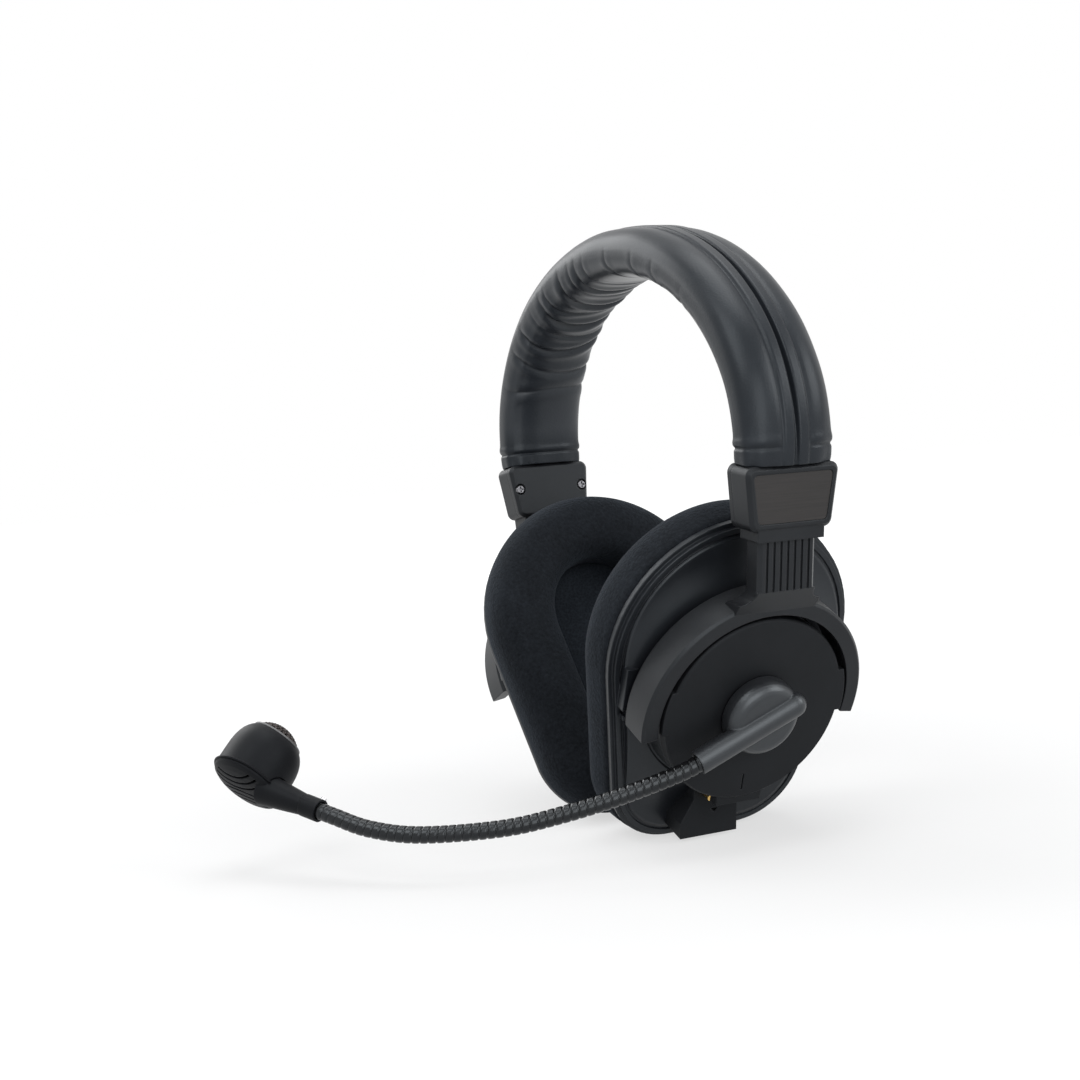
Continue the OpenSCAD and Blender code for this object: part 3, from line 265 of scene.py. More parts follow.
# The seam on the inner front edge, the hem and the gathers
seam_rise, seam_turn, seam_w, seam_fade, seam_start = 0.5, math.radians(216), 0.045, (92.0, 60.0), (1.0, 6.0)
hem_groove, hem_groove_at, hem_groove_w = 0.45, 4.6, 0.5
hem_roll, hem_roll_at, hem_roll_w = 0.3, 6.2, 1.2
gather_rise, gather_run, gather_count = 0.22, 7.0, 11.0
uneven_rise, uneven_scale = 0.22, 0.06
section_y = band_half_w * np.sign(np.cos(turns)) * np.abs(np.cos(turns)) ** (2.0 / squareness)
section_n = np.sign(np.sin(turns)) * np.abs(np.sin(turns)) ** (2.0 / squareness)
away = np.abs(section_y)
on_top = section_n > 0.55
under = smooth(0.25, -0.75, np.sin(turns))
cover_points = np.zeros((stations, len(turns), 3))
fold_depth = np.zeros((stations, len(turns)))
head_side = np.zeros((stations, len(turns)))
for i, t in enumerate(reach):
    end = min(lengths[i], lengths[-1] - lengths[i])
    padding = math.sin(min(end / padding_run, 1.0) * math.pi / 2)
    half_t = band_end_half + (band_crown_half - band_end_half) * padding
    squeeze = 1.0 - draw_in * math.exp(-end / draw_run)
    out = section_n * half_t
    # Each padded half swells a little beside the turned edges
    out += on_top * padding * swell_rise * hump(away, swell_at, swell_w)
    lip = edge_rise * smooth(*edge_inner, away) * smooth(*edge_outer, away)
    lip -= edge_seam * hump(away, edge_seam_at, edge_seam_w)
    slit = -slit_depth * smooth(*slit_side, away)
    out += on_top * (edge_at_end + (1.0 - edge_at_end) * padding) * (lip + slit)
    depth = np.zeros(len(turns))
    for degrees, fold, width, sag, slant in folds:
        k = np.interp(math.radians(degrees), reach, lengths)
        across = section_y / band_half_w
        line = k + sag * (1.0 - across ** 2) * (1.0 if degrees > 90 else -1.0) + slant * across
        uneven = fold * (0.75 + 0.25 * np.sin(1.7 * degrees + 3.0 * across))
        s = (lengths[i] - line) / width
        depth += uneven * (bank_rise * hump(np.abs(s), bank_at, bank_w) - np.exp(-np.abs(s) ** 1.25))
    head_side[i] = under * smooth(*fold_clear, end)
    depth *= head_side[i]
    # A raised seam runs up the inner front edge from each block
    seam = seam_rise * hump(turns % (2 * math.pi), seam_turn, seam_w)
    depth += seam * smooth(*seam_fade, end) * smooth(*seam_start, end)
    # A turned hem near the block, and small gathers that run out of it
    hem = hem_roll * hump(end, hem_roll_at, hem_roll_w) - hem_groove * hump(end, hem_groove_at, hem_groove_w)
    gathers = gather_rise * math.exp(-end / gather_run)
    gathers = gathers * np.cos(gather_count * turns + 0.6 * np.sin(3.0 * turns))
    depth += (hem + gathers) * (1.0 - on_top * smooth(6.0, 4.4, away))
    fold_depth[i] = depth
    normal = arch_normal(t)
    outward_y = np.cos(turns) * (1.0 / band_half_w)
    outward_n = np.sin(turns) / half_t
    scale = np.sqrt(outward_y ** 2 + outward_n ** 2)
    y = squeeze * section_y + depth * outward_y / scale
    n = squeeze * out + depth * outward_n / scale
    points = arch_point(t) + np.outer(n, normal)
    points[:, 1] += y
    drift = [noise.noise(Vector(p) * uneven_scale) for p in points]
    points += np.outer(np.array(drift) * uneven_rise * padding, normal)
    cover_points[i] = points

# The ring runs the other way round, so that the faces point outwards
cover_points = cover_points[:, ::-1]
cover = grid_piece("headband_sleeve", cover_points, False, True)
# The crease attribute holds the fold valleys' depth; the leatherette paints them darker as painted shade and
# makes them rougher
crease = cover.data.attributes.new("crease", "FLOAT", "POINT")
valleys = np.clip(-fold_depth[:, ::-1], 0.0, 1.5)
crease.data.foreach_set("value", valleys.reshape(-1).astype(np.float32))
# Marks the side towards the head, which the leatherette paints paler as painted light and coats a little
rubbed = cover.data.attributes.new("rubbed", "FLOAT", "POINT")
rubbed.data.foreach_set("value", head_side[:, ::-1].reshape(-1).astype(np.float32))


def new_finish(name):
    """A material with one Principled shader; returns it, a wire into its tree and the shader."""
    finish = bpy.data.materials.new(name)
    finish.use_nodes = True
    shader = finish.node_tree.nodes["Principled BSDF"]
    return finish, Wire(finish.node_tree), shader


def link(shader, **sockets):
    for name, wire in sockets.items():
        wire.tree.links.new(wire.socket, shader.inputs[name.replace("_", " ")])


def dress(piece, finish):
    piece.data.materials.clear()
    piece.data.materials.append(finish)


cool_tint = (0.88, 0.95, 1.0, 1.0)
leatherette, w, shader = new_finish("leatherette")
place = w.add("ShaderNodeTexCoord", out=3)
grain = w.add("ShaderNodeTexVoronoi", {"feature": "F1"}, {"Vector": place, "Scale": 1500.0})
pores = w.add("ShaderNodeTexNoise", inputs={"Vector": place, "Scale": 900.0, "Detail": 3.0})
wear = w.add("ShaderNodeTexNoise", inputs={"Vector": place, "Scale": 45.0, "Detail": 5.0, "Roughness": 0.6})
valley = w.add("ShaderNodeAttribute", {"attribute_name": "crease"}, out=2)
tone = w.add("ShaderNodeValToRGB", {
    "stops": [(0.3, (0.0105, 0.0125, 0.0155)), (0.7, (0.0165, 0.0190, 0.0230))],
}, {"Fac": wear})
# The side towards the head is painted paler, as painted light on the band's underside, and given a little
# coat for a rubbed shine
polish_and_painted_light = w.add("ShaderNodeAttribute", {"attribute_name": "rubbed"}, out=2)
painted_underside_light = w.add("ShaderNodeMix", {"data_type": "RGBA"}, {
    0: polish_and_painted_light * 0.7, 6: tone, 7: (0.027, 0.031, 0.037, 1.0),
}, out=2)
# Painted shade: the fold valleys are darkened in the colour, where shade falls in the creases
painted_crease_shade = w.add("ShaderNodeMix", {"data_type": "RGBA"}, {
    0: valley * 0.55, 6: painted_underside_light, 7: (0.004, 0.0045, 0.006, 1.0),
}, out=2)
relief = w.add("ShaderNodeBump", inputs={
    "Strength": 0.22, "Distance": 0.12 * mm, "Height": grain * 0.7 + pores * 0.5,
})
link(shader, Base_Color=painted_crease_shade, Roughness=0.27 + wear * 0.16 + valley * 0.1, Normal=relief)
link(shader, Coat_Weight=polish_and_painted_light * 0.3)
shader.inputs["Coat Roughness"].default_value = 0.34
shader.inputs["Specular IOR Level"].default_value = 0.22
shader.inputs["Specular Tint"].default_value = cool_tint
dress(cover, leatherette)
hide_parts("headband_cover", "headband_foam")
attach(cover, "band")

# Spring strip: a polished steel band inside the sleeve, with its tails clamped in the end blocks.
# Rolling leaves fine lines along its length.
steel, w, shader = new_finish("spring_steel")
place = w.add("ShaderNodeTexCoord", out=3)
brushed = w.add("ShaderNodeMapping", inputs={"Vector": place, "Scale": (900.0, 60.0, 900.0)})
lines = w.add("ShaderNodeTexNoise", inputs={"Vector": brushed, "Scale": 1.0, "Detail": 4.0})
link(shader, Roughness=0.22 + lines * 0.2)
shader.inputs["Base Color"].default_value = (0.52, 0.53, 0.55, 1.0)
shader.inputs["Metallic"].default_value = 1.0
dress(nodes["headband_spring"], steel)


# End blocks: moulded shells of black plastic with a fine eroded texture; the inner cover of each is held by
# two cross-head screws, and its edges are lightly rounded by the mould and polished by handling.
def moulded(name, low, high, rough, spread, edge, grain_size, gloss):
    """Black moulded plastic: its colours, roughness and spread, edge rounding and grain in mm, and gloss."""
    rub_gain, rub_light = 2.4, 2.2
    finish, w, shader = new_finish(name)
    place = w.add("ShaderNodeTexCoord", out=3)
    cloud = w.add("ShaderNodeTexNoise", inputs={
        "Vector": place, "Scale": 70.0, "Detail": 4.0, "Roughness": 0.65,
    })
    spark = w.add("ShaderNodeTexNoise", inputs={
        "Vector": place, "Scale": 1.0 / (grain_size * mm), "Detail": 2.0,
    })
    rounded = w.add("ShaderNodeBevel", {"samples": 6}, {"Radius": edge * mm})
    straight = w.add("ShaderNodeNewGeometry", out=1)
    turned = w.add("ShaderNodeVectorMath", {"operation": "DOT_PRODUCT"}, {0: rounded, 1: straight}, out=1)
    rubbed = w.add("ShaderNodeMath", {"operation": "MULTIPLY", "use_clamp": True}, {
        0: 1.0 - turned, 1: cloud * rub_gain,
    })
    tone = w.add("ShaderNodeValToRGB", {"stops": [(0.3, low), (0.7, high)]}, {"Fac": cloud})
    worn = w.add("ShaderNodeMix", {"data_type": "RGBA"}, {
        0: rubbed, 6: tone, 7: (*(rub_light * c for c in high), 1.0),
    }, out=2)
    relief = w.add("ShaderNodeBump", inputs={
        "Strength": 0.35, "Distance": 0.1 * grain_size * mm, "Height": spark, "Normal": rounded,
    })
    link(shader, Base_Color=worn, Roughness=rough + (cloud - 0.5) * spread - rubbed * 0.1, Normal=relief)
    shader.inputs["Specular IOR Level"].default_value = gloss
    shader.inputs["Specular Tint"].default_value = cool_tint
    return finish


block_plastic = moulded(
    "block_plastic", low=(0.0080, 0.0085, 0.0098), high=(0.0120, 0.0126, 0.0142),
    rough=0.44, spread=0.12, edge=0.6, grain_size=0.40, gloss=0.24,
)
for side in ("left", "right"):
    dress(nodes["end_block_" + side], block_plastic)
    dress(nodes["block_cover_" + side], block_plastic)

screw_steel, w, shader = new_finish("screw_steel")
place = w.add("ShaderNodeTexCoord", out=3)
scuff = w.add("ShaderNodeTexNoise", inputs={"Vector": place, "Scale": 1800.0, "Detail": 3.0})
link(shader, Roughness=0.26 + scuff * 0.2)
shader.inputs["Base Color"].default_value = (0.16, 0.16, 0.17, 1.0)
shader.inputs["Metallic"].default_value = 1.0
dress(nodes["block_screws"], screw_steel)

# Label plate: a thin anodised plate in the left block's recess, left bare, with a faint brushed grain.
# It is cemented flush with the block's face.
plate, w, shader = new_finish("bare_plate")
place = w.add("ShaderNodeTexCoord", out=3)
stretched = w.add("ShaderNodeMapping", inputs={"Vector": place, "Scale": (400.0, 60.0, 2200.0)})
brush = w.add("ShaderNodeTexNoise", inputs={"Vector": stretched, "Scale": 1.0, "Detail": 5.0})
tone = w.add("ShaderNodeValToRGB", {
    "stops": [(0.3, (0.016, 0.0146, 0.0142)), (0.7, (0.025, 0.0224, 0.0217))],
}, {"Fac": brush})
link(shader, Base_Color=tone, Roughness=0.42 + brush * 0.14)
shader.inputs["Metallic"].default_value = 0.35
dress(nodes["label_plate"], plate)

# Forks: glass-filled plastic stems and rings, a little duller than the blocks; bright steel pins carry the
# cups in the ends of each ring.
fork_plastic = moulded(
    "fork_plastic", low=(0.0085, 0.0090, 0.0104), high=(0.0125, 0.0132, 0.0150),
    rough=0.40, spread=0.10, edge=0.5, grain_size=0.42, gloss=0.26,
)
chrome, w, shader = new_finish("bright_pin")
place = w.add("ShaderNodeTexCoord", out=3)
scuff = w.add("ShaderNodeTexNoise", inputs={"Vector": place, "Scale": 1800.0, "Detail": 3.0})
link(shader, Roughness=0.16 + scuff * 0.14)
shader.inputs["Base Color"].default_value = (0.72, 0.72, 0.74, 1.0)
shader.inputs["Metallic"].default_value = 1.0
for side in ("left", "right"):
    dress(nodes["fork_" + side], fork_plastic)
    dress(nodes["pivot_pins_" + side], chrome)

# Ear cups: dished shells of satin plastic and round caps with a matte face; behind the pads a cloth-covered
# baffle carries the loudspeaker.
shell_plastic = moulded(
    "shell_plastic", low=(0.0080, 0.0090, 0.0112), high=(0.0115, 0.0130, 0.0158),
    rough=0.34, spread=0.10, edge=0.5, grain_size=0.33, gloss=0.34,
)
cap_plastic = moulded(
    "cap_plastic", low=(0.0070, 0.0075, 0.0086), high=(0.0100, 0.0107, 0.0122),
    rough=0.54, spread=0.10, edge=0.5, grain_size=0.45, gloss=0.17,
)
felt_cloth, w, shader = new_finish("felt_cloth")
place = w.add("ShaderNodeTexCoord", out=3)
threads = w.add("ShaderNodeTexVoronoi", {"feature": "F1"}, {"Vector": place, "Scale": 1300.0})
fluff = w.add("ShaderNodeTexNoise", inputs={"Vector": place, "Scale": 60.0, "Detail": 4.0})
tone = w.add("ShaderNodeValToRGB", {
    "stops": [(0.2, (0.0075, 0.0096, 0.0128)), (0.8, (0.0200, 0.0242, 0.0302))],
}, {"Fac": threads * 0.6 + fluff * 0.4})
weave = w.add("ShaderNodeBump", inputs={"Strength": 0.5, "Distance": 0.2 * mm, "Height": threads})
link(shader, Base_Color=tone, Roughness=0.86 + fluff * 0.12, Normal=weave)
shader.inputs["Specular IOR Level"].default_value = 0.08
for side in ("left", "right"):
    dress(nodes["cup_shell_" + side], shell_plastic)
    dress(nodes["cup_cap_" + side], cap_plastic)
    dress(nodes["driver_" + side], steel)

block_lean = -math.atan2(arch_normal(arch_start)[2], arch_normal(arch_start)[0])
block_place = Matrix.Translation(arch_point(arch_start)) @ Matrix.Rotation(block_lean, 4, "Y")
pivot_place = block_place @ Matrix.Translation((-17.3, 0.0, -74.1))
cup_turn = Matrix.Rotation(math.radians(13.5), 4, "Y")
cup_place = pivot_place @ cup_turn @ Matrix.Translation((6.5, 0.0, 0.0))
egg_rounds = [(0.0, 12.6, 41.0), (11.7, -29.7, 22.5), (-11.7, -29.7, 22.5)]
rim_depth, baffle_t = 20.0, 2.0


def egg_point(turn, grow):
    n = np.array([math.cos(turn), math.sin(turn)])
    y, z, r = max(egg_rounds, key=lambda c: c[0] * n[0] + c[1] * n[1] + c[2])
    return np.array([y, z]) + n * (r + grow)


def face_outwards(piece):
    bpy.ops.object.select_all(action="DESELECT")
    piece.select_set(True)
    bpy.context.view_layer.objects.active = piece
    bpy.ops.object.mode_set(mode="EDIT")
    bpy.ops.mesh.select_all(action="SELECT")
    bpy.ops.mesh.normals_make_consistent(inside=False)
    bpy.ops.object.mode_set(mode="OBJECT")


def cup_pair(name, rows, closed_rows, finish):
    """The left piece from rows of points in the cup's own frame, and the right one as its mirror image."""
    points = np.array([[cup_place @ Vector(p) for p in row] for row in rows])
    pair = []
    for side, turn in (("left", 1.0), ("right", -1.0)):
        turned = points * np.array([turn, 1.0, 1.0])
        piece = grid_piece(name + "_" + side, turned, closed_rows, not closed_rows)
        face_outwards(piece)
        dress(piece, finish)
        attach(piece, "cup_" + side)
        pair.append(piece)
    return pair


# The dish between the rim's groove and the cap, as one smooth skin
cap_r, dish_crest, dish_slope, dish_rise, dish_top = 29.8, 0.6, 15.0, 3.2, -16.6
dish_edge, skin_up, skin_t, dish_turns, dish_steps = -4.05, 0.1, 0.35, 200, 22
corners = np.array([egg_point(turn, dish_edge) for turn in np.linspace(0.0, 2.0 * math.pi, 361)])
outline = np.concatenate([
    np.linspace(a, b, 40, endpoint=False) for a, b in zip(corners[:-1], corners[1:])
])
outline_turn = np.unwrap(np.arctan2(outline[:, 1], outline[:, 0]))
outline_r = np.hypot(outline[:, 0], outline[:, 1])
dish_rows = []
for turn in np.linspace(0.0, 2.0 * math.pi, dish_turns, endpoint=False):
    edge_r = np.interp(turn, outline_turn, outline_r, period=2.0 * math.pi)
    radii = np.linspace(cap_r + dish_crest, edge_r, dish_steps)
    fall = np.clip((radii - cap_r - dish_crest) / dish_slope, 0.0, 1.0)
    heights = dish_top + skin_up + dish_rise * (1.0 + np.cos(math.pi * fall)) / 2.0
    top = [(h, r * math.cos(turn), r * math.sin(turn)) for r, h in zip(radii, heights)]
    dish_rows.append(top + [(x - skin_t, y, z) for x, y, z in reversed(top)])
cup_pair("cup_dish", dish_rows, True, shell_plastic)

# The cloth over the baffle, slightly crowned
felt_crown, felt_in = 1.8, -2.5
felt_turns = np.linspace(0.0, 2.0 * math.pi, 128, endpoint=False)
felt_rows = []
for share in (0.03, 0.15, 0.3, 0.45, 0.6, 0.75, 0.88, 0.96, 1.0):
    ring = [share * egg_point(turn, felt_in) for turn in felt_turns]
    felt_rows.append([(-rim_depth - felt_crown * (1.0 - share ** 2), y, z) for y, z in ring])
felt_rows.append([(baffle_t - rim_depth, y, z) for x, y, z in felt_rows[-1]])
felts = cup_pair("baffle_felt", felt_rows, False, felt_cloth)
for felt, side in zip(felts, ("left", "right")):
    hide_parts("baffle_" + side)

# Cable socket: a moulded housing at the bottom of the left cup with one brass contact.
# The contact's surface is slightly tarnished.
dress(nodes["socket_housing"], cap_plastic)
brass, w, shader = new_finish("brass")
place = w.add("ShaderNodeTexCoord", out=3)
tarnish = w.add("ShaderNodeTexNoise", inputs={"Vector": place, "Scale": 900.0, "Detail": 3.0})
tone = w.add("ShaderNodeValToRGB", {
    "stops": [(0.3, (0.62, 0.40, 0.12)), (0.7, (0.80, 0.56, 0.22))],
}, {"Fac": tarnish})
link(shader, Base_Color=tone, Roughness=0.2 + tarnish * 0.2)
shader.inputs["Metallic"].default_value = 1.0
dress(nodes["socket_contact"], brass)
dress(nodes["boom_bush"], brass)

# Ear pads: velour bags over a ring of foam, stretched round the cup's egg-shaped rim. The left pad is made
# and blown up a little as cloth with its back edge held; the right one is its mirror image.
pad_t, pad_w, pad_bulge = 18.0, 21.0, 1.6
pad_stations, pad_ring = 176, 44
held_band, blow_steps, blow_most = (0.22, 0.06), 15, 1.2


def curve_between(a, b, c, d, f):
    """A smooth curve from b to c, with a and d as the points before and after."""
    square = (2 * a - 5 * b + 4 * c - d) * f * f / 2
    cube = (3 * b - a - 3 * c + d) * f ** 3 / 2
    return b + (c - a) * f / 2 + square + cube


def closed_curve(points, count):
    """Points spaced along a smooth closed curve through the given points."""
    points = np.array(points)
    k = len(points)
    fine = []
    for i in range(k):
        a, b, c, d = (points[(i + j - 1) % k] for j in range(4))
        fine += [curve_between(a, b, c, d, f) for f in np.linspace(0.0, 1.0, 16, endpoint=False)]
    fine = np.array(fine + [fine[0]])
    run = np.concatenate([[0.0], np.cumsum(np.linalg.norm(np.diff(fine, axis=0), axis=1))])
    at = np.linspace(0.0, run[-1], count, endpoint=False)
    return np.stack([np.interp(at, run, fine[:, k]) for k in range(2)], axis=1)


pad_section = closed_curve([
    (-0.6, 0.0), (0.6, 0.1 * pad_t), (pad_bulge - 0.4, 0.26 * pad_t), (pad_bulge - 0.3, 0.5 * pad_t),
    (-0.4, 0.76 * pad_t), (-0.2 * pad_w, 0.93 * pad_t), (-0.48 * pad_w, 0.975 * pad_t),
    (-0.78 * pad_w, 0.91 * pad_t), (-0.95 * pad_w, 0.7 * pad_t), (-0.985 * pad_w, 0.36 * pad_t),
    (-0.92 * pad_w, 0.04 * pad_t), (-0.5 * pad_w, 0.0),
], pad_ring)
pad_points = np.zeros((pad_stations, len(pad_section), 3))
for i in range(pad_stations):
    turn = math.pi / 2 + 2.0 * math.pi * (i + 0.5) / pad_stations
    for j, (grow, deep) in enumerate(pad_section):
        y, z = egg_point(turn, grow)
        pad_points[i, j] = cup_place @ Vector((-rim_depth - deep, y, z))
pad_left = grid_piece("ear_pad_velour_left", pad_points, True, False)
held = pad_left.vertex_groups.new(name="held")
for index in range(len(pad_left.data.vertices)):
    hold = smooth(*held_band, pad_section[index % len(pad_section), 1] / pad_t)
    held.add([index], float(hold), "REPLACE")
cloth = pad_left.modifiers.new("blown_up", "CLOTH")
cloth.settings.quality = 6
cloth.settings.mass = 0.15
cloth.settings.tension_stiffness = 25.0
cloth.settings.compression_stiffness = 25.0
cloth.settings.shear_stiffness = 12.0
cloth.settings.bending_stiffness = 2.0
cloth.settings.use_pressure = True
cloth.settings.uniform_pressure_force = 3.0
cloth.settings.vertex_group_mass = "held"
cloth.settings.effector_weights.gravity = 0.0
before = np.array([v.co for v in pad_left.data.vertices])
for step in range(1, blow_steps + 1):
    scene.frame_set(step)
swollen = pad_left.evaluated_get(bpy.context.evaluated_depsgraph_get()).to_mesh()
moved = np.array([v.co for v in swollen.vertices]) - before
far = np.linalg.norm(moved, axis=1, keepdims=True)
moved *= np.minimum(1.0, blow_most * mm / np.maximum(far, 1e-9))
pad_left.modifiers.remove(cloth)
pad_left.data.vertices.foreach_set("co", (before + moved).reshape(-1))
pad_left.data.update()
scene.frame_set(1)
mirrored = np.array([v.co for v in pad_left.data.vertices]).reshape(pad_points.shape) / mm
mirrored[..., 0] *= -1.0
pad_right = grid_piece("ear_pad_velour_right", mirrored[:, ::-1], True, False)

velour, w, shader = new_finish("velour")
place = w.add("ShaderNodeTexCoord", out=3)
pile = w.add("ShaderNodeTexNoise", inputs={"Vector": place, "Scale": 850.0, "Detail": 5.0, "Roughness": 0.75})
tufts = w.add("ShaderNodeTexVoronoi", {"feature": "F1"}, {"Vector": place, "Scale": 900.0})
brushed = w.add("ShaderNodeTexNoise", inputs={
    "Vector": place, "Scale": 38.0, "Detail": 4.0, "Distortion": 0.8,
})
shade = w.add("ShaderNodeValToRGB", {
    "stops": [(0.36, (0.0028, 0.0037, 0.0050)), (0.64, (0.0150, 0.0178, 0.0222))],
}, {"Fac": pile * 0.6 + brushed * 0.4})
nap = w.add("ShaderNodeBump", inputs={"Strength": 0.8, "Distance": 0.45 * mm, "Height": pile + tufts * 0.5})
link(shader, Base_Color=shade, Roughness=0.82 + brushed * 0.16, Normal=nap)
shader.inputs["Specular IOR Level"].default_value = 0.12
shader.inputs["Sheen Weight"].default_value = 0.07
shader.inputs["Sheen Roughness"].default_value = 0.45
shader.inputs["Sheen Tint"].default_value = (0.52, 0.64, 0.80, 1.0)
for pad, side in ((pad_left, "left"), (pad_right, "right")):
    dress(pad, velour)
    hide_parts("ear_pad_" + side)
    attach(pad, "cup_" + side)

# Boom hub: a satin flat-topped knob that turns on the left cap, with the arm moulded across it; a washer and
# a screw hold it from inside the cup.
hub_plastic = moulded(
    "hub_plastic", low=(0.0120, 0.0128, 0.0146), high=(0.0170, 0.0182, 0.0205),
    rough=0.36, spread=0.10, edge=0.7, grain_size=0.45, gloss=0.62,
)
dress(nodes["boom_hub"], hub_plastic)
dress(nodes["boom_washer"], steel)
dress(nodes["boom_screw"], chrome)

# Gooseneck: a flexible tube wound from a ribbed strip, pushed into the boom's arm at one end and into the
# microphone's collar at the other. It bends between the two.
arm_slope, arm_x, arm_len, goose_seat, goose_d = math.radians(26.0), 6.3, 24.0, 4.6, 5.1
arm_dir = Vector((0.0, -math.cos(arm_slope), -math.sin(arm_slope)))
arm_tip = Vector((arm_x, 0.0, 0.0)) + arm_len * arm_dir
mic_root = Vector((-43.0, -117.5, -40.0))
mic_dir = Vector((-0.857, -0.507, -0.086)).normalized()
goose_bends = [
    (-0.059, 0.375, 0.508), (0.059, 0.51, 0.672), (0.187, 0.642, 0.797),
    (0.428, 0.814, 0.919), (0.669, 0.913, 0.979),
]
goose_route = [arm_tip - goose_seat * arm_dir, arm_tip + goose_d * arm_dir]
goose_route += [Vector(share * size for share, size in zip(bend, mic_root)) for bend in goose_bends]
goose_route += [mic_root - goose_d * mic_dir, mic_root + goose_seat * mic_dir]
goose_route = np.array([cup_place @ p for p in goose_route])
route_before = 2 * goose_route[0] - goose_route[1]
route_after = 2 * goose_route[-1] - goose_route[-2]
goose_route = np.vstack([route_before, goose_route, route_after])
goose_line = []
for i in range(1, len(goose_route) - 2):
    a, b, c, d = goose_route[i - 1:i + 3]
    goose_line += [curve_between(a, b, c, d, f) for f in np.linspace(0.0, 1.0, 60, endpoint=False)]
goose_line = np.array(goose_line + [goose_route[-2]])
goose_run = np.concatenate([[0.0], np.cumsum(np.linalg.norm(np.diff(goose_line, axis=0), axis=1))])
rib_count, rings_per_rib, goose_sides = 52, 14, 40
rib_depth, rib_crown, rib_clear = 0.60, 7, 0.02
ring_count = rib_count * rings_per_rib + 1
goose_at = np.linspace(0.0, goose_run[-1], ring_count)
goose_mid = np.stack([np.interp(goose_at, goose_run, goose_line[:, k]) for k in range(3)], axis=1)
goose_along = np.gradient(goose_mid, axis=0)
goose_along /= np.linalg.norm(goose_along, axis=1, keepdims=True)
goose_points = np.zeros((ring_count, goose_sides, 3))
for i in range(ring_count):
    across = np.cross(goose_along[i], [1.0, 0.0, 0.0])
    across /= np.linalg.norm(across)
    around = np.cross(goose_along[i], across)
    for j in range(goose_sides):
        turn = 2.0 * math.pi * j / goose_sides
        # The strip is wound, so each rib climbs by one pitch in a turn
        phase = (i / rings_per_rib + j / goose_sides) % 1.0
        groove = rib_depth * abs(2.0 * phase - 1.0) ** rib_crown
        r = goose_d / 2 - rib_clear - groove
        goose_points[i, j] = goose_mid[i] + r * (math.cos(turn) * across + math.sin(turn) * around)
hose = grid_piece("gooseneck_hose", goose_points, False, True)
hose_skin = moulded(
    "gooseneck_skin", low=(0.0034, 0.0033, 0.0037), high=(0.0060, 0.0059, 0.0064),
    rough=0.24, spread=0.10, edge=0.1, grain_size=0.12, gloss=0.38,
)
dress(hose, hose_skin)
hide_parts("gooseneck")
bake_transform(hose)

# Microphone: two satin shells with a tapered neck and curved slots in the back; the front shell rounds in
# to a thin bezel, painted light grey as a highlight, round a dome of coarse woven wire. A small pin locks the
# collar to the gooseneck.
mic_reach, mic_sink, turned_sides, smooth_up_to = 28.8, 0.2, 128, math.radians(32.0)
grille_dir = Vector((-0.513, 0.722, 0.465)).normalized()
mic_up = (grille_dir - grille_dir.dot(mic_dir) * mic_dir).normalized()
mic_side = mic_up.cross(mic_dir)
mic_turn = Matrix((mic_dir, mic_side, mic_up)).transposed().to_4x4()
mic_place = cup_place @ Matrix.Translation(mic_root) @ mic_turn
grille_lean = -math.asin(grille_dir.dot(mic_dir))
bulb_turn = Matrix.Rotation(-grille_lean, 4, "Y")
bulb_place = mic_place @ Matrix.Translation((mic_reach, 0.0, -mic_sink)) @ bulb_turn


# The front shell leans a little to the wearer's left as it rises from the seam
lean_turn, lean_angle, lean_shift, lean_top = math.radians(129.5), math.radians(8.3), -0.66, 17.0
lean_to = Vector((math.cos(lean_turn), math.sin(lean_turn), 0.0))
lean_side = Vector((-math.sin(lean_turn), math.cos(lean_turn), 0.0))


def leaned(x, y, z):
    share = z / lean_top
    bend = share * lean_angle
    middle = Vector((0.0, 0.0, z)) + lean_to * (z * bend / 2) + lean_side * (share * lean_shift)
    tipped = math.cos(bend) * lean_to - Vector((0.0, 0.0, math.sin(bend)))
    flat = Vector((x, y, 0.0))
    return bulb_place @ (middle + flat.dot(lean_to) * tipped + flat.dot(lean_side) * lean_side) * mm


def in_metres(place):
    return Matrix.Translation(place.translation * mm) @ place.to_3x3().to_4x4()


def turned_ring(name, profile):
    """A ring turned to a closed profile of radii and heights along the microphone's axis."""
    bpy.ops.object.select_all(action="DESELECT")
    r, z = profile[0]
    bpy.ops.mesh.primitive_circle_add(vertices=turned_sides, radius=r * mm)
    piece = bpy.context.object
    piece.name = name
    bpy.ops.object.mode_set(mode="EDIT")
    bpy.ops.mesh.select_all(action="SELECT")
    bpy.ops.transform.translate(value=(0.0, 0.0, z * mm))
    for next_r, next_z in profile[1:]:
        bpy.ops.mesh.extrude_region_move(TRANSFORM_OT_translate={"value": (0.0, 0.0, (next_z - z) * mm)})
        grow = next_r / r
        bpy.ops.transform.resize(value=(grow, grow, 1.0), center_override=(0.0, 0.0, next_z * mm))
        r, z = next_r, next_z
    bpy.ops.mesh.select_all(action="DESELECT")
    bpy.ops.mesh.select_non_manifold()
    bpy.ops.mesh.bridge_edge_loops()
    bpy.ops.object.mode_set(mode="OBJECT")
    for corner in piece.data.vertices:
        corner.co = leaned(*(corner.co / mm))
    face_outwards(piece)
    return piece


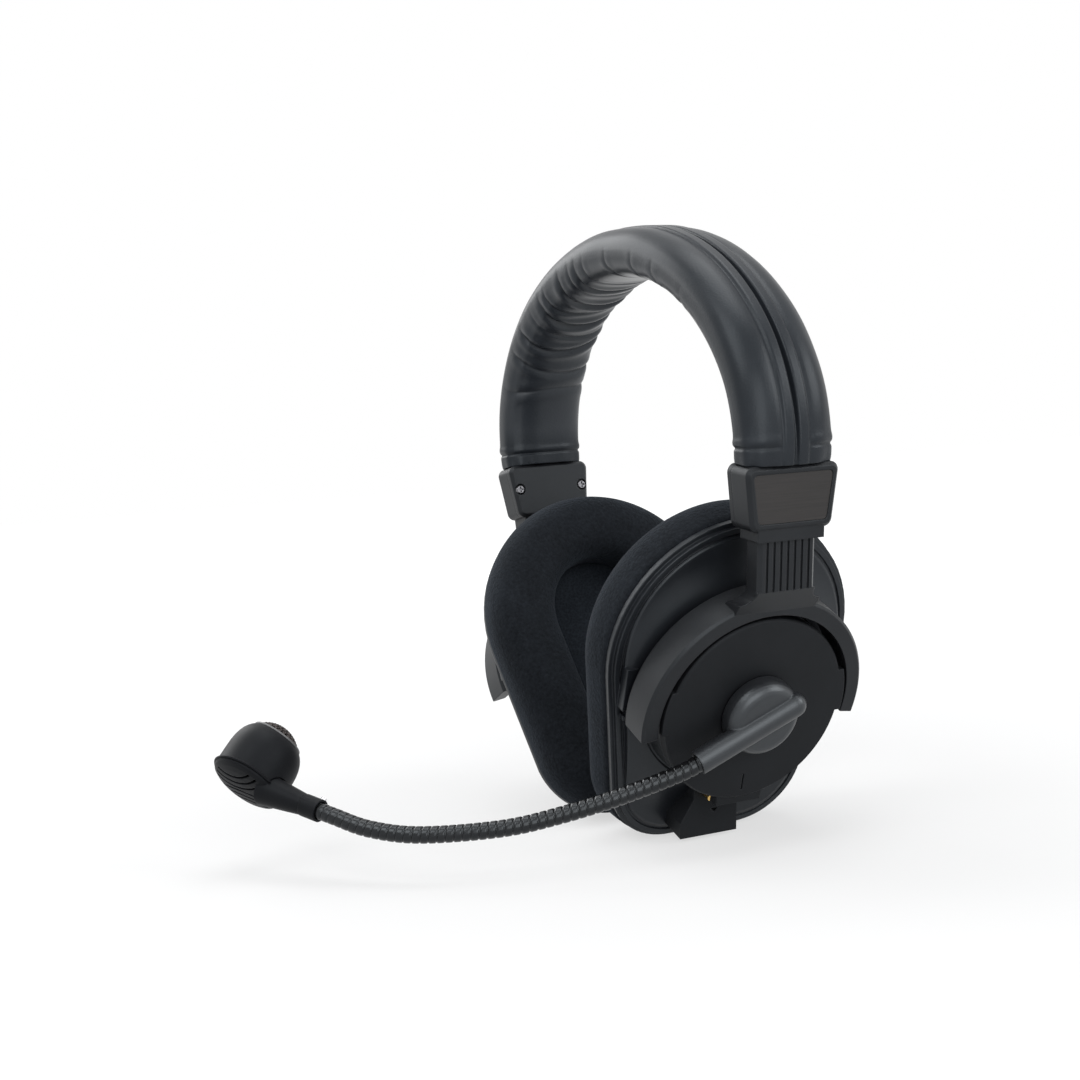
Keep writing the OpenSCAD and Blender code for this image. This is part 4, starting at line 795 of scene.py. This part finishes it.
mic_shell = turned_ring("mic_shell", [
    (11.95, 0.0), (12.25, 0.35), (11.95, 0.7), (11.6, 0.85), (11.62, 3.0), (11.66, 5.5), (11.64, 8.0),
    (11.48, 10.0), (11.12, 11.8), (10.6, 13.3), (9.95, 14.5), (9.2, 15.5), (8.45, 16.25), (8.2, 16.5),
    (7.4, 16.5), (7.4, 15.9), (8.4, 15.1), (9.2, 14.1), (9.9, 12.8), (10.4, 11.4), (10.75, 9.6),
    (10.85, 7.0), (10.85, 3.0), (10.5, 0.0),
])
collar_len, neck_inset, neck_d, neck_root_d, neck_gap = 6.0, 7.0, 6.4, 10.0, 0.3
neck_len = mic_reach - collar_len - neck_inset
bpy.ops.object.select_all(action="DESELECT")
bpy.ops.mesh.primitive_cone_add(
    vertices=64, depth=neck_len * mm,
    radius1=(neck_d / 2 + neck_gap) * mm, radius2=(neck_root_d / 2 + neck_gap) * mm,
)
neck_room = bpy.context.object
neck_middle = Matrix.Translation((collar_len + neck_len / 2, 0.0, 0.0))
neck_room.matrix_world = in_metres(mic_place @ neck_middle @ Matrix.Rotation(math.pi / 2, 4, "Y"))
notch = mic_shell.modifiers.new("neck_notch", "BOOLEAN")
notch.object = neck_room
bpy.context.view_layer.update()
bpy.context.view_layer.objects.active = mic_shell
bpy.ops.object.modifier_apply(modifier=notch.name)
bpy.data.objects.remove(neck_room)
bezel = turned_ring("mic_bezel", [
    (7.75, 16.4), (8.25, 16.4), (8.32, 16.6), (8.25, 16.9), (8.1, 17.05), (7.9, 17.05), (7.75, 16.85),
])
for piece in (mic_shell, bezel):
    bpy.ops.object.select_all(action="DESELECT")
    piece.select_set(True)
    bpy.context.view_layer.objects.active = piece
    bpy.ops.object.shade_smooth_by_angle(angle=smooth_up_to)

grille_r, grille_rise, grille_foot = 7.8, 3.8, 16.9
dome_r = (grille_r ** 2 + grille_rise ** 2) / (2.0 * grille_rise)
dome_z = grille_foot + grille_rise - dome_r
mesh_pitch, wire_r, weave_r, weave_lift, wires_aside, wire_step = 1.2, 0.31, 8.1, 0.2, 6, 0.2
weave = bpy.data.curves.new("grille_weave", "CURVE")
weave.dimensions = "3D"
weave.bevel_depth = wire_r * mm
weave.bevel_resolution = 2
weave.use_fill_caps = True
for lengthwise in (True, False):
    for k in range(-wires_aside, wires_aside + 1):
        aside = k * mesh_pitch
        half = math.sqrt(weave_r ** 2 - aside ** 2)
        count = 2 * int(half / wire_step) + 1
        first = 1.0 if (k % 2 == 0) == lengthwise else -1.0
        wire = weave.splines.new("POLY")
        wire.points.add(count - 1)
        for point, x in zip(wire.points, np.linspace(-half, half, count)):
            over = weave_lift * first * math.cos(math.pi * x / mesh_pitch)
            lift = (dome_r - 2.0 * wire_r + over) / dome_r
            high = dome_z + lift * math.sqrt(dome_r ** 2 - x * x - aside * aside)
            spot = (x * lift, aside * lift, high) if lengthwise else (aside * lift, x * lift, high)
            point.co = (*leaned(*spot), 1.0)
grille = bpy.data.objects.new("grille_weave", weave)
scene.collection.objects.link(grille)
bpy.ops.object.select_all(action="DESELECT")
grille.select_set(True)
bpy.context.view_layer.objects.active = grille
bpy.ops.object.convert(target="MESH")

wire_cloth, w, shader = new_finish("wire_cloth")
place = w.add("ShaderNodeTexCoord", out=3)
patina = w.add("ShaderNodeTexNoise", inputs={"Vector": place, "Scale": 700.0, "Detail": 3.0})
tone = w.add("ShaderNodeValToRGB", {
    "stops": [(0.3, (0.026, 0.022, 0.021)), (0.7, (0.062, 0.053, 0.050))],
}, {"Fac": patina})
link(shader, Base_Color=tone, Roughness=0.34 + patina * 0.2)
shader.inputs["Metallic"].default_value = 0.8
mic_plastic = moulded(
    "mic_plastic", low=(0.0046, 0.0048, 0.0058), high=(0.0076, 0.0079, 0.0092),
    rough=0.48, spread=0.10, edge=0.4, grain_size=0.40, gloss=0.11,
)
for name in ("mic_collar", "mic_back"):
    dress(nodes[name], mic_plastic)
# The bezel's light grey colour is a painted highlight along the thin ring
bezel_painted_highlight, w, shader = new_finish("bezel_painted_highlight")
place = w.add("ShaderNodeTexCoord", out=3)
haze = w.add("ShaderNodeTexNoise", inputs={"Vector": place, "Scale": 500.0, "Detail": 3.0})
tone = w.add("ShaderNodeValToRGB", {
    "stops": [(0.3, (0.090, 0.090, 0.092)), (0.7, (0.130, 0.130, 0.134))],
}, {"Fac": haze})
link(shader, Base_Color=tone, Roughness=0.30 + haze * 0.16)
for piece, finish, node, slot in (
    (mic_shell, mic_plastic, "mic_body", "satin_plastic"),
    (bezel, bezel_painted_highlight, "mic_ring", "satin_plastic"),
    (grille, wire_cloth, "mic_grille", "black_plastic"),
):
    dress(piece, finish)
    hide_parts(node)
    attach(piece, "mic")
dress(nodes["mic_capsule"], mic_plastic)
dress(nodes["mic_collar_pin"], chrome)
